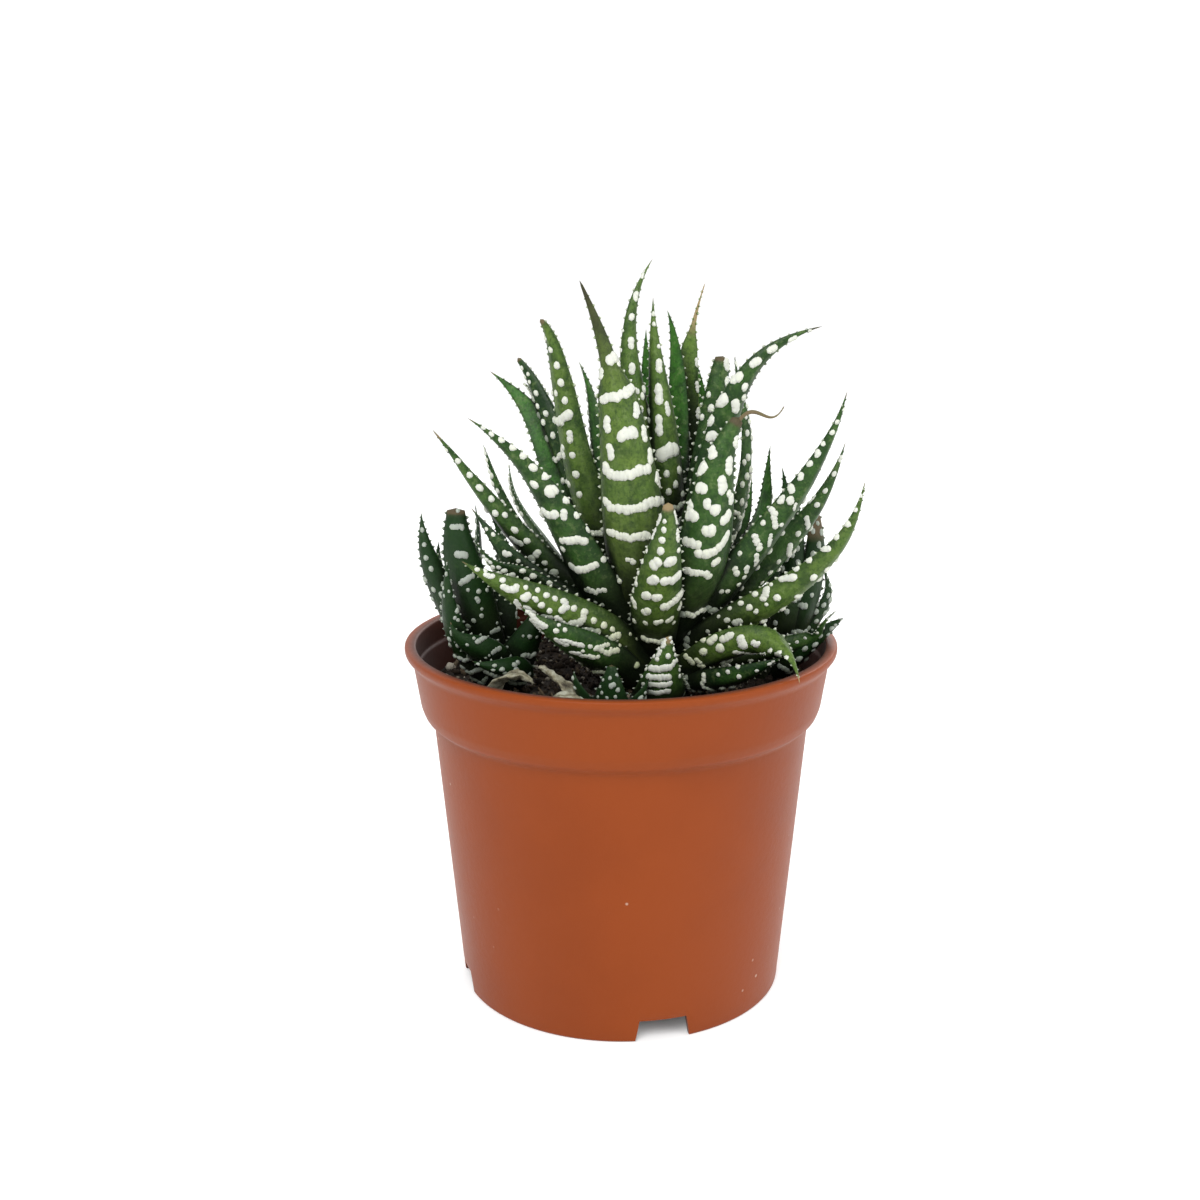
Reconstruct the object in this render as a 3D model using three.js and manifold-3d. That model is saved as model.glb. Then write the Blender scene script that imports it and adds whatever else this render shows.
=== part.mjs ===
// Potted zebra haworthia: a rosette of thick pointed leaves with raised bars and dots on their
// backs and toothed edges, with smaller offsets round it, in a plastic nursery pot.
// Millimetres, +Z up. The origin is on the pot's axis, on the surface that its foot stands on.

import * as THREE from "three";
import { mergeVertices } from "three/addons/utils/BufferGeometryUtils.js";
import Module from "manifold-3d";

const wasm = await Module();
wasm.setup();

// Driving dimensions of the pot
const POT_HEIGHT = 70.5;
const LIP_RADIUS = 42.5;
const LIP_DEPTH = 1.8;
const COLLAR_TOP_RADIUS = 41;
const COLLAR_FOOT_RADIUS = 39.6;
const COLLAR_FOOT = 58.6;
const STEP_RADIUS = 37.2;
const STEP_HEIGHT = 55.4;
const FOOT_RADIUS = 32.2;
const WALL = 1.25;
const LEDGE_DEPTH = 4.5;
const LEDGE_WIDTH = 0.5;
const FLOOR_HEIGHT = 5;
const POT_SIDES = 48;
const EDGE_ROUND = 0.5;
const COLLAR_ROUND = { drop: 1.9, inset: 0.7 };
const NOTCH = { count: 4, first: -76.4, width: 11, topWidth: 9.2, height: 4.5, reach: 4, below: 1 };

// Soil, crown and clearances
const SOIL_HEIGHT = 61;
const SOIL_SIDES = 28;
const SOIL_RINGS = 5;
const SOIL_LUMP = 0.7;
const LUMP_WAVES = { wide: 0.57, fine: 1.2, fineShare: 0.6 };
const GAP = 0.35;
const CROWN = new THREE.Vector3(7, -2, SOIL_HEIGHT);
const STEM_DEPTH = 9;
const STEM_RADIUS = 5.5;
const STEM_HEIGHT = 26;
const STEM_SIDES = 14;
// The stem's outline above the soil, in shares of its radius and of its height
const STEM_PROFILE = [[1, 0.15], [0.5, 0.85], [0.25, 1]];

// Leaf form: the section goes from one edge over the rounded, keeled back to the other edge, and
// returns over the face. Each point is (across, out of the back) in half widths.
const FULL_SECTION = [
  [-1, 0], [-0.74, 0.4], [-0.36, 0.64], [0, 0.76], [0.36, 0.64], [0.74, 0.4], [1, 0], [0, -0.14],
];
const SLIM_SECTION = [[-1, 0], [-0.6, 0.52], [0, 0.76], [0.6, 0.52], [1, 0], [0, -0.14]];
const FULL_WIDTH = 9;
const BASE_SHARE = 0.8;
const WIDEST = 0.25;
const TAPER_START = 1.9;
const TAPER_SHARPNESS = 1.15;
const WITHERED_OVER = 0.1;
const TIP_HALF_WIDTH = 0.45;
const TIP_THICKNESS = 0.35;
const ROOT_DEPTH = 1;
const TANGENT_STEP = 0.01;

// Relief: raised bars across the lower half of the back, then dots, and teeth along both edges
const BUMP = 0.55;
const TOOTH = 0.07;
const BAR_PITCH = 8.2;
const SLIM_PITCH = 12;
const LEAST_RINGS = 6;
const BARS_UP_TO = 0.55;

// The plainer leaf that neighbours are cut back from: longer steps, and its bumps all joined
const COARSE_PITCH = 1.4;
const COARSE_BUMP = 0.75;
const COARSE_LEAST_RINGS = 4;
const COARSE_BACK = 0.3;

// Leaves of the main rosette, measured from the crown at soil level. Each row is: height of the
// root on the stem, a point a third of the way along, a point two thirds along, the tip, the
// width, the compass angle that the back faces, and the share of its natural length that is left.
// A withered tip adds the share where it starts, and how much narrower it is.
const LEAVES = [
  [10, [-5, -12, 38.5], [-8, -14, 59.5], [-14.5, -13, 79.5], 13, -92, 0.97, [0.64, 0.38]],
  [8, [-0.5, -15, 22], [0.5, -21, 32], [1, -25, 41.5], 10.5, -88, 0.9],
  [10, [8, -14, 31], [10, -17, 44.5], [14, -17, 55.5], 11.5, -78, 0.88],
  [2, [0, -14, 3.5], [0.5, -19, 9], [1.5, -21, 16], 12, -84, 0.95],
  [8, [-14, -10, 28.5], [-22, -15, 43.5], [-34.5, -20, 56], 10.5, -122, 1],
  [4, [-14, -12, 16], [-25, -20, 24], [-35.5, -27, 31.5], 12.5, -112, 1],
  [3, [12.5, -14, 12.5], [20.5, -20.5, 14.5], [24.5, -30, 9.5], 9, -60, 1],
  [8, [16, -9, 28], [27, -12, 44], [33.5, -16, 60], 9.5, -50, 1],
  [14, [9, -7, 40], [14.5, -9, 60], [29.5, -10, 71], 9.5, -62, 1],
  [8, [-21, -6, 26.5], [-31.5, -10, 39.5], [-41.5, -13, 53], 8.5, -135, 0.98],
  [7, [19.5, -12, 20], [31, -18, 31], [36, -23, 45], 8.5, -60, 1],
  [20, [-2.5, -4, 45.5], [-5.5, -5, 66], [-1, -2, 83], 7.5, -62, 1],
  [19, [1.5, -5, 42], [0, -4, 60], [-1, -2, 76], 7.5, -88, 1],
  [16, [5, 6, 43], [6, 9, 61], [9.5, 11, 78], 9, 100, 1, [0.76, 0.5]],
  [11, [-15.5, 5, 34.5], [-22.5, 9, 50], [-32.5, 12, 61], 10.5, 108, 1],
  [14, [-13.5, -1, 39.5], [-18, -2, 60.5], [-22, -3, 72], 8.5, -125, 0.93],
  [8, [20, -1, 24.5], [30, -3, 37], [35, -6, 49.5], 9, -45, 1],
  [14, [8.5, 2, 37], [11, 3, 53.5], [12.5, 4, 64.5], 8.5, -70, 0.78],
  [2, [-12, -13, 11], [-19, -19, 16.5], [-25.5, -24, 22.5], 9, -105, 1],
  [22, [3.5, 3, 42.5], [4, 6, 60.5], [2, 7, 73], 6.5, 70, 1],
  [17, [-9.5, 6, 40.5], [-12, 9, 53.5], [-15, 11, 63], 6.5, 140, 1],
  [12, [-15, 6, 38.5], [-21.5, 10, 54], [-27, 13, 63.5], 8, -140, 0.9],
  [9, [-20, -7, 21], [-28, -11, 29], [-35, -10, 38], 8.5, -120, 1],
  [5, [-22.5, -12, 24], [-29.5, -17, 28.5], [-34, -20, 34.5], 7, -130, 1],
  [13, [15.5, 3, 37], [16.5, 5, 54], [15, 6, 64.5], 6, -20, 1],
  [2, [12, -14, 6], [17.5, -18.5, 9], [22.5, -21, 12], 6, -70, 1],
  [3, [27, -1, 9], [31.5, -3, 12], [34.5, -6, 17], 4.5, -60, 1],
  [9, [-13, 10, 31.5], [-21.5, 16, 51], [-26.5, 19, 57.5], 5.5, 160, 1],
  [7, [-22, 6, 24.5], [-30.5, 8, 38], [-34, 10, 47], 6, -160, 1],
  [6, [-20, 12, 25], [-27.5, 17, 34.5], [-29.5, 20, 41.5], 5.5, 170, 1],
  [22, [-0.5, 5, 40.5], [-1.5, 8, 56], [-2, 8, 69.5], 7, 105, 1],
  [7, [13.5, 10, 27.5], [17.5, 14, 35], [20, 16, 41], 6.5, 30, 1],
  [7, [18.5, 14, 24.5], [23, 20, 34.5], [24, 22, 45], 7, 40, 1],
  [9, [0, 13, 26], [-1, 20, 41], [-2, 25, 53], 9.5, 95, 1],
  [8, [-9, 14, 21], [-15, 22, 33], [-20, 28, 44], 9, 125, 1],
  [8, [9, 14, 22], [13, 23, 35], [15, 29, 45], 9, 65, 0.9],
  [4, [5, 17, 12], [7, 27, 19], [8, 35, 28], 8, 80, 1],
  [4, [-14, 16, 10], [-21, 23, 14], [-26, 28, 13], 7.5, 125, 1],
  [4, [16, 13, 11], [24, 20, 15], [29, 25, 21], 7.5, 40, 1],
  [12, [-5, 11, 32], [-9, 17, 48], [-10, 18, 61], 8, 110, 1],
  [12, [6.5, 11, 33], [9.5, 17, 49], [8, 20, 63], 7.5, 65, 1],
  [6, [-4, 15, 19], [-7, 25, 30], [-10, 32, 42], 8, 108, 1],
  [6, [12, 13, 19], [18, 21, 28], [21, 28, 37], 8, 52, 1],
];

// Offsets: small rosettes with a crown of their own. The leaf rows read as above, from the
// offset's crown.
const OFFSETS = [
  {
    name: "offset_left",
    at: [-31, 1],
    leaves: [
      [2, [-9.5, -5, 19], [-13, -6, 28.5], [-14, -5, 36], 6.5, -100, 1],
      [3, [-4.5, -7, 20], [-6.5, -9, 29.5], [-7, -9, 37.5], 9, -88, 0.76],
      [4, [-3.5, 2, 19], [-3.5, 3, 28], [-4.5, 3, 36.5], 6, 175, 1],
      [4, [1, 2, 18], [1, 5, 26], [-1.5, 6, 33], 6, 90, 1],
      [1, [-6.5, -9, 11], [-8.5, -12, 20], [-8.5, -13, 28.5], 6, -110, 1],
      [1, [-1, -9, 9], [-5, -13, 12.5], [-8, -15, 17], 8, -100, 1],
      [1, [-8, 2, 12], [-11.5, 5, 21], [-12, 7, 28], 6.5, 150, 1],
      [1, [4, -8, 6], [1, -14, 8], [-4, -17, 10], 7, -95, 1],
      [2, [3.5, -5, 7], [7, -8, 14], [10.5, -10, 21], 8.9, -80, 1],
    ],
  },
  {
    name: "offset_right",
    at: [23, 7],
    leaves: [
      [3, [6, -2, 15], [8, -3, 24.5], [8, -2, 34], 7.5, -70, 0.8],
      [1, [8, 0, 11], [11, -1, 17], [10, -2, 23], 6, -40, 1],
      [4, [3.5, -3, 18.5], [4.5, -3, 29], [5, -2, 36], 6.5, -110, 1],
      [3, [3, 6, 20], [4, 9, 31], [3, 11, 41], 6.5, 80, 1],
      [1, [-3, 5, 10], [-4, 9, 18], [-4, 12, 24], 6, 110, 1],
      [1, [5, -7, 7], [10, -9, 12], [13, -11, 15], 6, -60, 1],
    ],
  },
  {
    name: "offset_back",
    at: [-9, 28],
    leaves: [
      [2, [-5, 2, 14], [-8, 3, 22], [-10, 4, 29], 7, 170, 1],
      [2, [4, 3, 14], [6, 4, 22], [6, 5, 30], 7, 30, 1],
      [3, [0, 5, 17], [0, 7, 25], [-1, 8, 33], 7, 90, 1],
      [1, [-5, 6, 8], [-9, 8, 13], [-12, 8, 18], 7, 130, 1],
      [1, [5, 5, 8], [10, 6, 12], [14, 6, 17], 7, 50, 1],
    ],
  },
  {
    name: "offset_front",
    at: [-9, -17],
    leaves: [
      [0, [0, -3.5, 3.5], [0, -5, 7], [0, -5.5, 11], 7.5, -100, 1],
      [0, [-4, -1, 3], [-6, -2, 6], [-7, -2, 9], 6, -150, 1],
      [0, [4, -2, 3], [5.5, -3, 5], [7, -3.5, 8], 5.5, -40, 1],
    ],
  },
];
const OFFSET_STEM_RADIUS = 3.2;
const OFFSET_STEM_HEIGHT = 7;
const OFFSET_STEM_DEPTH = 7;

// Old leaves lying dry on the soil: both ends and the middle, then the width
const DRY_LEAVES = [
  { name: "dry_leaf_left", at: [[-33, -15, -0.5], [-28.5, -19, 7.5], [-23.5, -20.5, 7]], width: 6 },
  { name: "dry_leaf_front", at: [[-24, -22, -0.5], [-19, -25.5, 5.5], [-13.5, -25.5, 4.5]], width: 6 },
  { name: "dry_leaf_curled", at: [[-13, -21, -0.5], [-17.5, -18.5, 5.5], [-22.5, -15.5, 8.5]], width: 3.5 },
];
const DRY = { rings: 6, narrowEnd: 0.35, widestAt: 0.35, curl: 0.25, thickness: 1.2 };

const COLOURS = {
  pot: { color: 0xa2522f, roughness: 0.45 },
  soil: { color: 0x2a1d15, roughness: 0.95 },
  stem: { color: 0x4a4326, roughness: 0.8 },
  leaf: { color: 0x3f6b2e, roughness: 0.5 },
  offset: { color: 0x2c4a28, roughness: 0.5 },
  dry: { color: 0x8f8264, roughness: 0.9 },
};

// Turns a closed geometry into a solid that can be joined and cut.
function solidFrom(geometry) {
  geometry.deleteAttribute("normal");
  geometry.deleteAttribute("uv");
  const merged = mergeVertices(geometry, 1e-4);
  return new wasm.Manifold(
    new wasm.Mesh({
      numProp: 3,
      vertProperties: new Float32Array(merged.attributes.position.array),
      triVerts: new Uint32Array(merged.index.array),
    }),
  );
}

// Makes the named mesh of a solid, keeping its largest body and leaving cut off scraps out.
function meshFrom(name, solid, finish) {
  const body = solid.decompose().sort((a, b) => b.volume() - a.volume())[0];
  const { vertProperties, triVerts } = body.getMesh();
  const geometry = new THREE.BufferGeometry();
  geometry.setAttribute("position", new THREE.BufferAttribute(vertProperties, 3));
  geometry.setIndex(new THREE.BufferAttribute(triVerts, 1));
  geometry.computeVertexNormals();
  const mesh = new THREE.Mesh(geometry, new THREE.MeshStandardMaterial(finish));
  mesh.name = name;
  return mesh;
}

// Revolves an outline of (radius, height) points round Z.
function turned(outline, sides) {
  const points = outline.map(([radius, height]) => new THREE.Vector2(radius, height));
  return new THREE.LatheGeometry(points, sides).rotateX(Math.PI / 2);
}

function wallRadius(height) {
  return FOOT_RADIUS + ((STEP_RADIUS - FOOT_RADIUS) * height) / STEP_HEIGHT - WALL;
}

// The pot: foot ring, tapering wall, step, collar, rolled lip, inner ledge and raised floor.
function potSolid() {
  const lipFoot = POT_HEIGHT - LIP_DEPTH;
  const lipInner = COLLAR_TOP_RADIUS - WALL + LEDGE_WIDTH;
  const ledge = POT_HEIGHT - LEDGE_DEPTH;
  const outline = [
    [0, FLOOR_HEIGHT],
    [wallRadius(0), FLOOR_HEIGHT],
    [wallRadius(0), 0],
    [FOOT_RADIUS - EDGE_ROUND * 0.6, 0],
    [FOOT_RADIUS, EDGE_ROUND],
    [STEP_RADIUS, STEP_HEIGHT],
    [COLLAR_FOOT_RADIUS - COLLAR_ROUND.inset, COLLAR_FOOT - COLLAR_ROUND.drop],
    [COLLAR_FOOT_RADIUS, COLLAR_FOOT],
    [COLLAR_TOP_RADIUS, lipFoot],
    [LIP_RADIUS - EDGE_ROUND * 0.6, lipFoot],
    [LIP_RADIUS, lipFoot + EDGE_ROUND],
    [LIP_RADIUS, POT_HEIGHT - EDGE_ROUND],
    [LIP_RADIUS - EDGE_ROUND, POT_HEIGHT],
    [lipInner + EDGE_ROUND, POT_HEIGHT],
    [lipInner, POT_HEIGHT - EDGE_ROUND],
    [lipInner, ledge],
    [lipInner - LEDGE_WIDTH, ledge - EDGE_ROUND],
    [COLLAR_FOOT_RADIUS - WALL, COLLAR_FOOT],
    [wallRadius(STEP_HEIGHT), STEP_HEIGHT - EDGE_ROUND],
    [wallRadius(FLOOR_HEIGHT + WALL), FLOOR_HEIGHT + WALL],
    [0, FLOOR_HEIGHT + WALL],
  ];
  let pot = solidFrom(turned(outline, POT_SIDES));
  for (let i = 0; i < NOTCH.count; i++) {
    pot = pot.subtract(notchSolid(NOTCH.first + (i * 360) / NOTCH.count));
  }
  return pot;
}

// One drainage notch in the foot: an upright trapezium pushed through the wall.
function notchSolid(angle) {
  const depth = NOTCH.reach * 2;
  const shape = new THREE.Shape([
    new THREE.Vector2(-NOTCH.width / 2, -NOTCH.below),
    new THREE.Vector2(NOTCH.width / 2, -NOTCH.below),
    new THREE.Vector2(NOTCH.topWidth / 2, NOTCH.height),
    new THREE.Vector2(-NOTCH.topWidth / 2, NOTCH.height),
  ]);
  const block = new THREE.ExtrudeGeometry(shape, { depth, bevelEnabled: false });
  block.rotateX(Math.PI / 2);
  block.rotateZ(Math.PI / 2);
  block.translate(FOOT_RADIUS - depth / 2, 0, 0);
  block.rotateZ(THREE.MathUtils.degToRad(angle));
  return solidFrom(block);
}

// Height of the soil's lumps at a point, fading out at the pot's wall.
function lump(x, y) {
  const { wide, fine, fineShare } = LUMP_WAVES;
  const rough = Math.sin(x * wide + 1) * Math.cos(y * wide) + fineShare * Math.sin((x - y) * fine);
  const fromWall = 1 - Math.hypot(x, y) / wallRadius(SOIL_HEIGHT);
  return SOIL_LUMP * rough * Math.min(1, fromWall * SOIL_RINGS);
}

// The soil: fills the pot from its floor to the lumpy surface.
function soilSolid() {
  const floor = FLOOR_HEIGHT + WALL + GAP;
  const collarRadius = COLLAR_FOOT_RADIUS - WALL - GAP;
  const outline = [
    [0, floor],
    [wallRadius(floor) - GAP, floor],
    [wallRadius(STEP_HEIGHT) - GAP, STEP_HEIGHT - GAP],
    [collarRadius, COLLAR_FOOT + GAP],
    [collarRadius, SOIL_HEIGHT],
  ];
  for (let ring = SOIL_RINGS - 1; ring >= 0; ring--) {
    outline.push([(collarRadius * ring) / SOIL_RINGS, SOIL_HEIGHT]);
  }
  const geometry = turned(outline, SOIL_SIDES);
  const position = geometry.attributes.position;
  for (let i = 0; i < position.count; i++) {
    const x = position.getX(i);
    const y = position.getY(i);
    const onTop = position.getZ(i) > SOIL_HEIGHT - GAP;
    if (onTop) position.setZ(i, SOIL_HEIGHT + lump(x, y));
  }
  return solidFrom(geometry);
}

// A short tapering stem with a round head, from below the soil to its top, grown by a margin.
function stemSolid(at, radius, depth, height, margin) {
  const outline = [
    [0, -depth - margin],
    [radius * 0.8 + margin, -depth - margin],
    [radius + margin, -depth / 2],
    ...STEM_PROFILE.map(([wide, high]) => [radius * wide + margin, (height + margin) * high]),
    [0, height + margin * 1.5],
  ];
  return solidFrom(turned(outline, STEM_SIDES)).translate([at.x, at.y, at.z]);
}

// The cubic curve through four points, at an even spacing of its parameter.
function throughPoints(points, t) {
  const weights = [
    -4.5 * (t - 1 / 3) * (t - 2 / 3) * (t - 1),
    13.5 * t * (t - 2 / 3) * (t - 1),
    -13.5 * t * (t - 1 / 3) * (t - 1),
    4.5 * t * (t - 1 / 3) * (t - 2 / 3),
  ];
  const sum = new THREE.Vector3();
  points.forEach((point, i) => sum.addScaledVector(point, weights[i]));
  return sum;
}

// Half the width of a leaf at a share of its natural length.
function halfWidth(share, width, [start, loss]) {
  const foot = BASE_SHARE + (1 - BASE_SHARE) * Math.min(1, share / WIDEST);
  const taper = (1 - Math.min(share, 1) ** TAPER_START) ** TAPER_SHARPNESS;
  const withered = 1 - loss * THREE.MathUtils.smoothstep(share, start, start + WITHERED_OVER);
  return Math.max((foot * taper * withered * width) / 2, TIP_HALF_WIDTH);
}

// How far a point of the back stands out: bars across the lower half, dots in turn above.
function bumpAt(ring, point, points, share) {
  const onBack = point > 0 && point < points - 2;
  if (!onBack || ring < 1) return 0;
  const keel = point === (points - 2) / 2;
  const bar = ring % 2 === 1;
  const raised = share < BARS_UP_TO ? bar : bar === keel;
  return raised ? BUMP : 0;
}

// One leaf as a closed loft of its section along its curve, grown all round by a margin.
function leafSolid(row, crown, stemRadius, margin) {
  const [rootHeight, low, high, tip, width, faces, kept, withered = [1, 0]] = row;
  const lowPoint = new THREE.Vector3(...low);
  const rootRadius = stemRadius * (1 - rootHeight / (1.5 * STEM_HEIGHT));
  const inStem = Math.max(rootRadius - ROOT_DEPTH, ROOT_DEPTH / 2);
  const root = new THREE.Vector3(low[0], low[1], 0).setLength(inStem).setZ(rootHeight);
  const points = [root, lowPoint, new THREE.Vector3(...high), new THREE.Vector3(...tip)];
  const spans = points.slice(1).map((point, i) => point.distanceTo(points[i]));
  const length = spans.reduce((sum, span) => sum + span);
  const coarse = margin > 0;
  const section = width >= FULL_WIDTH && !coarse ? FULL_SECTION : SLIM_SECTION;
  const pitch = (width >= FULL_WIDTH ? BAR_PITCH : SLIM_PITCH) * (coarse ? COARSE_PITCH : 1);
  const rings = Math.max(coarse ? COARSE_LEAST_RINGS : LEAST_RINGS, Math.round((2 * length) / pitch));
  const angle = THREE.MathUtils.degToRad(faces);
  const positions = [];
  for (let ring = 0; ring <= rings; ring++) {
    const t = ring / rings;
    const centre = throughPoints(points, t);
    const behind = throughPoints(points, t - TANGENT_STEP);
    const along = throughPoints(points, t + TANGENT_STEP).sub(behind).normalize();
    const back = new THREE.Vector3(Math.cos(angle), Math.sin(angle), 0);
    back.addScaledVector(along, -back.dot(along)).normalize();
    const side = new THREE.Vector3().crossVectors(along, back);
    const half = halfWidth(t * kept, width, withered);
    const tooth = ring % 2 === 1 && !coarse ? 1 + TOOTH : 1;
    centre.addScaledVector(along, ring === rings ? margin : 0);
    section.forEach(([across, out], i) => {
      const bump = coarse ? COARSE_BUMP : bumpAt(ring, i, section.length, t);
      const grown = 1 + (margin + bump) / half;
      const edge = Math.abs(across) === 1 ? tooth * grown : grown;
      const thickness = Math.sign(out) * Math.max(Math.abs(out) * half, TIP_THICKNESS);
      const point = centre.clone().addScaledVector(side, across * half * edge);
      point.addScaledVector(back, thickness * grown + Math.sign(out) * margin * COARSE_BACK);
      positions.push(point);
    });
  }
  return loft(positions, section.length, rings).translate([crown.x, crown.y, crown.z]);
}

// Joins rings of points with triangles, and closes both ends on their middles.
function loft(points, perRing, rings) {
  const faces = [];
  for (let ring = 0; ring < rings; ring++) {
    for (let i = 0; i < perRing; i++) {
      const a = ring * perRing + i;
      const b = ring * perRing + ((i + 1) % perRing);
      faces.push(a, b, a + perRing, b, b + perRing, a + perRing);
    }
  }
  const ends = [0, rings * perRing].map((start) => {
    const middle = new THREE.Vector3();
    points.slice(start, start + perRing).forEach((point) => middle.addScaledVector(point, 1 / perRing));
    return middle;
  });
  const first = points.length;
  for (let i = 0; i < perRing; i++) {
    const next = (i + 1) % perRing;
    faces.push(first, next, i);
    faces.push(first + 1, rings * perRing + i, rings * perRing + next);
  }
  const geometry = new THREE.BufferGeometry().setFromPoints([...points, ...ends]);
  geometry.setIndex(faces);
  return solidFrom(geometry);
}

// An old leaf: a thin, slightly rolled strip along a bent line.
function dryLeafSolid({ at, width }, margin) {
  const curve = new THREE.CatmullRomCurve3(at.map((point) => new THREE.Vector3(...point)));
  const points = [];
  for (let ring = 0; ring <= DRY.rings; ring++) {
    const t = ring / DRY.rings;
    const centre = curve.getPoint(t);
    const along = curve.getTangent(t);
    const side = new THREE.Vector3(along.y, -along.x, 0).normalize();
    const swell = Math.sin(Math.PI * Math.min(t + 0.5 - DRY.widestAt, 1));
    const half = (width / 2) * (DRY.narrowEnd + (1 - DRY.narrowEnd) * swell) + margin;
    SLIM_SECTION.forEach(([across, out]) => {
      const point = centre.clone().addScaledVector(side, across * half);
      point.z += DRY.curl * half * across * across + out * (DRY.thickness + margin);
      points.push(point);
    });
  }
  return loft(points, SLIM_SECTION.length, DRY.rings).translate([CROWN.x, CROWN.y, CROWN.z]);
}

const plant = new THREE.Group();
const offsetCrown = ({ at }) => new THREE.Vector3(CROWN.x + at[0], CROWN.y + at[1], SOIL_HEIGHT);
const offsetStem = (offset, margin) =>
  stemSolid(offsetCrown(offset), OFFSET_STEM_RADIUS, OFFSET_STEM_DEPTH, OFFSET_STEM_HEIGHT, margin);

// The soil, with a plain hole for each stem
const holes = [stemSolid(CROWN, STEM_RADIUS, STEM_DEPTH, STEM_HEIGHT, GAP)];
OFFSETS.forEach((offset) => holes.push(offsetStem(offset, GAP)));
const soil = holes.reduce((rest, hole) => rest.subtract(hole), soilSolid());
plant.add(meshFrom("soil", soil, COLOURS.soil));
plant.add(meshFrom("stem", stemSolid(CROWN, STEM_RADIUS, STEM_DEPTH, STEM_HEIGHT, 0), COLOURS.stem));

// What is already there, grown by the gap: each later piece is cut back from it.
let taken = soilSolid().translate([0, 0, GAP]).add(holes[0]);
const pot = potSolid();
const potGrown = [-GAP, GAP].reduce((grown, shift) => grown.add(pot.translate([0, 0, shift])), pot);
taken = taken.add(potGrown);

LEAVES.forEach((row, i) => {
  const name = "leaf_" + String(i + 1).padStart(2, "0");
  plant.add(meshFrom(name, leafSolid(row, CROWN, STEM_RADIUS, 0).subtract(taken), COLOURS.leaf));
  taken = taken.add(leafSolid(row, CROWN, STEM_RADIUS, GAP));
});

OFFSETS.forEach((offset) => {
  const crown = offsetCrown(offset);
  const grow = (margin) =>
    offset.leaves
      .map((row) => leafSolid(row, crown, OFFSET_STEM_RADIUS, margin))
      .reduce((all, leaf) => all.add(leaf));
  const body = grow(0).subtract(taken).add(offsetStem(offset, 0));
  plant.add(meshFrom(offset.name, body, COLOURS.offset));
  taken = taken.add(grow(GAP)).add(offsetStem(offset, GAP));
});

DRY_LEAVES.forEach((leaf) => {
  plant.add(meshFrom(leaf.name, dryLeafSolid(leaf, 0).subtract(taken), COLOURS.dry));
  taken = taken.add(dryLeafSolid(leaf, GAP));
});

const pottedPlant = new THREE.Group();
pottedPlant.add(meshFrom("pot", pot, COLOURS.pot));
pottedPlant.add(plant);

export default pottedPlant;
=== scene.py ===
# %% [markdown]
# # A potted haworthia
# A small succulent in a thin plastic nursery pot. Its thick pointed leaves carry raised white
# bumps, which join into bars low on a leaf and stand apart as dots towards its tip. The packed
# model gives every piece its size and place; this lesson gives each piece its fine form and skin.

import math
import random

import bmesh
import bpy
import numpy as np
from mathutils import Matrix, Vector, noise
from mathutils.bvhtree import BVHTree


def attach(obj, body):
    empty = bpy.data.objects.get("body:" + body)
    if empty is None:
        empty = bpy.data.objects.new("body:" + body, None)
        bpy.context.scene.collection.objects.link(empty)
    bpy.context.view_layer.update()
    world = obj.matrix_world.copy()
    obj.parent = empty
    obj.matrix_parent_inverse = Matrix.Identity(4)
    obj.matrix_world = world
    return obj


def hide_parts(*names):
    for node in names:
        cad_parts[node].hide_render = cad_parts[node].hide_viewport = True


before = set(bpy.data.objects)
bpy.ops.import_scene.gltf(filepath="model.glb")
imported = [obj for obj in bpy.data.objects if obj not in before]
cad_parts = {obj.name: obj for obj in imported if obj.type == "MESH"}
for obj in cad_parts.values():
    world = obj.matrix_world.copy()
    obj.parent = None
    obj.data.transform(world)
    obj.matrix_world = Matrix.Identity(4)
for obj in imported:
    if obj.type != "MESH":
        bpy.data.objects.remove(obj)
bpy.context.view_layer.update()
MM = 0.001
print("packed model's nodes:", len(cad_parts))

# %% [markdown]
# ## Camera
# The photograph was taken from close by and a little above the rim. A camera fitted to the pot's
# rim, step and foot gives these values, in pixels, millimetres and degrees.

# %% Camera
IMAGE_SIZE = 1200
FOCAL_PIXELS = 1560
SENSOR_WIDTH = 36
LOOK_AT = Vector((-4.05, 0, 78.13)) * MM
DISTANCE = 307 * MM
ELEVATION = math.radians(13.94)
ROLL = math.radians(-0.22)
NEAREST_SEEN = 10 * MM


def linked(name, data):
    """An object with this data, put in the scene."""
    thing = bpy.data.objects.new(name, data)
    bpy.context.scene.collection.objects.link(thing)
    return thing


to_camera = Vector((0, -math.cos(ELEVATION), math.sin(ELEVATION)))
camera_place = LOOK_AT + to_camera * DISTANCE
camera_turn = to_camera.to_track_quat("Z", "Y").to_matrix() @ Matrix.Rotation(ROLL, 3, "Z")
camera_data = bpy.data.cameras.new("camera")
camera_data.sensor_width = SENSOR_WIDTH
camera_data.lens = FOCAL_PIXELS / IMAGE_SIZE * SENSOR_WIDTH
camera_data.clip_start = NEAREST_SEEN
camera = linked("camera", camera_data)
camera.matrix_world = Matrix.Translation(camera_place) @ camera_turn.to_4x4()
bpy.context.scene.camera = camera
print("lens", round(camera_data.lens, 2), "mm, camera at", camera_place)

# %% [markdown]
# ## From a place to a pixel
# The front leaves will get their bumps where the photograph shows them, and for that each place
# on a leaf needs its pixel. Blender has a helper for this, but it follows the render's size. Here
# the place is turned into the camera's own axes and divided by its depth, which is all it takes.


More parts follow.
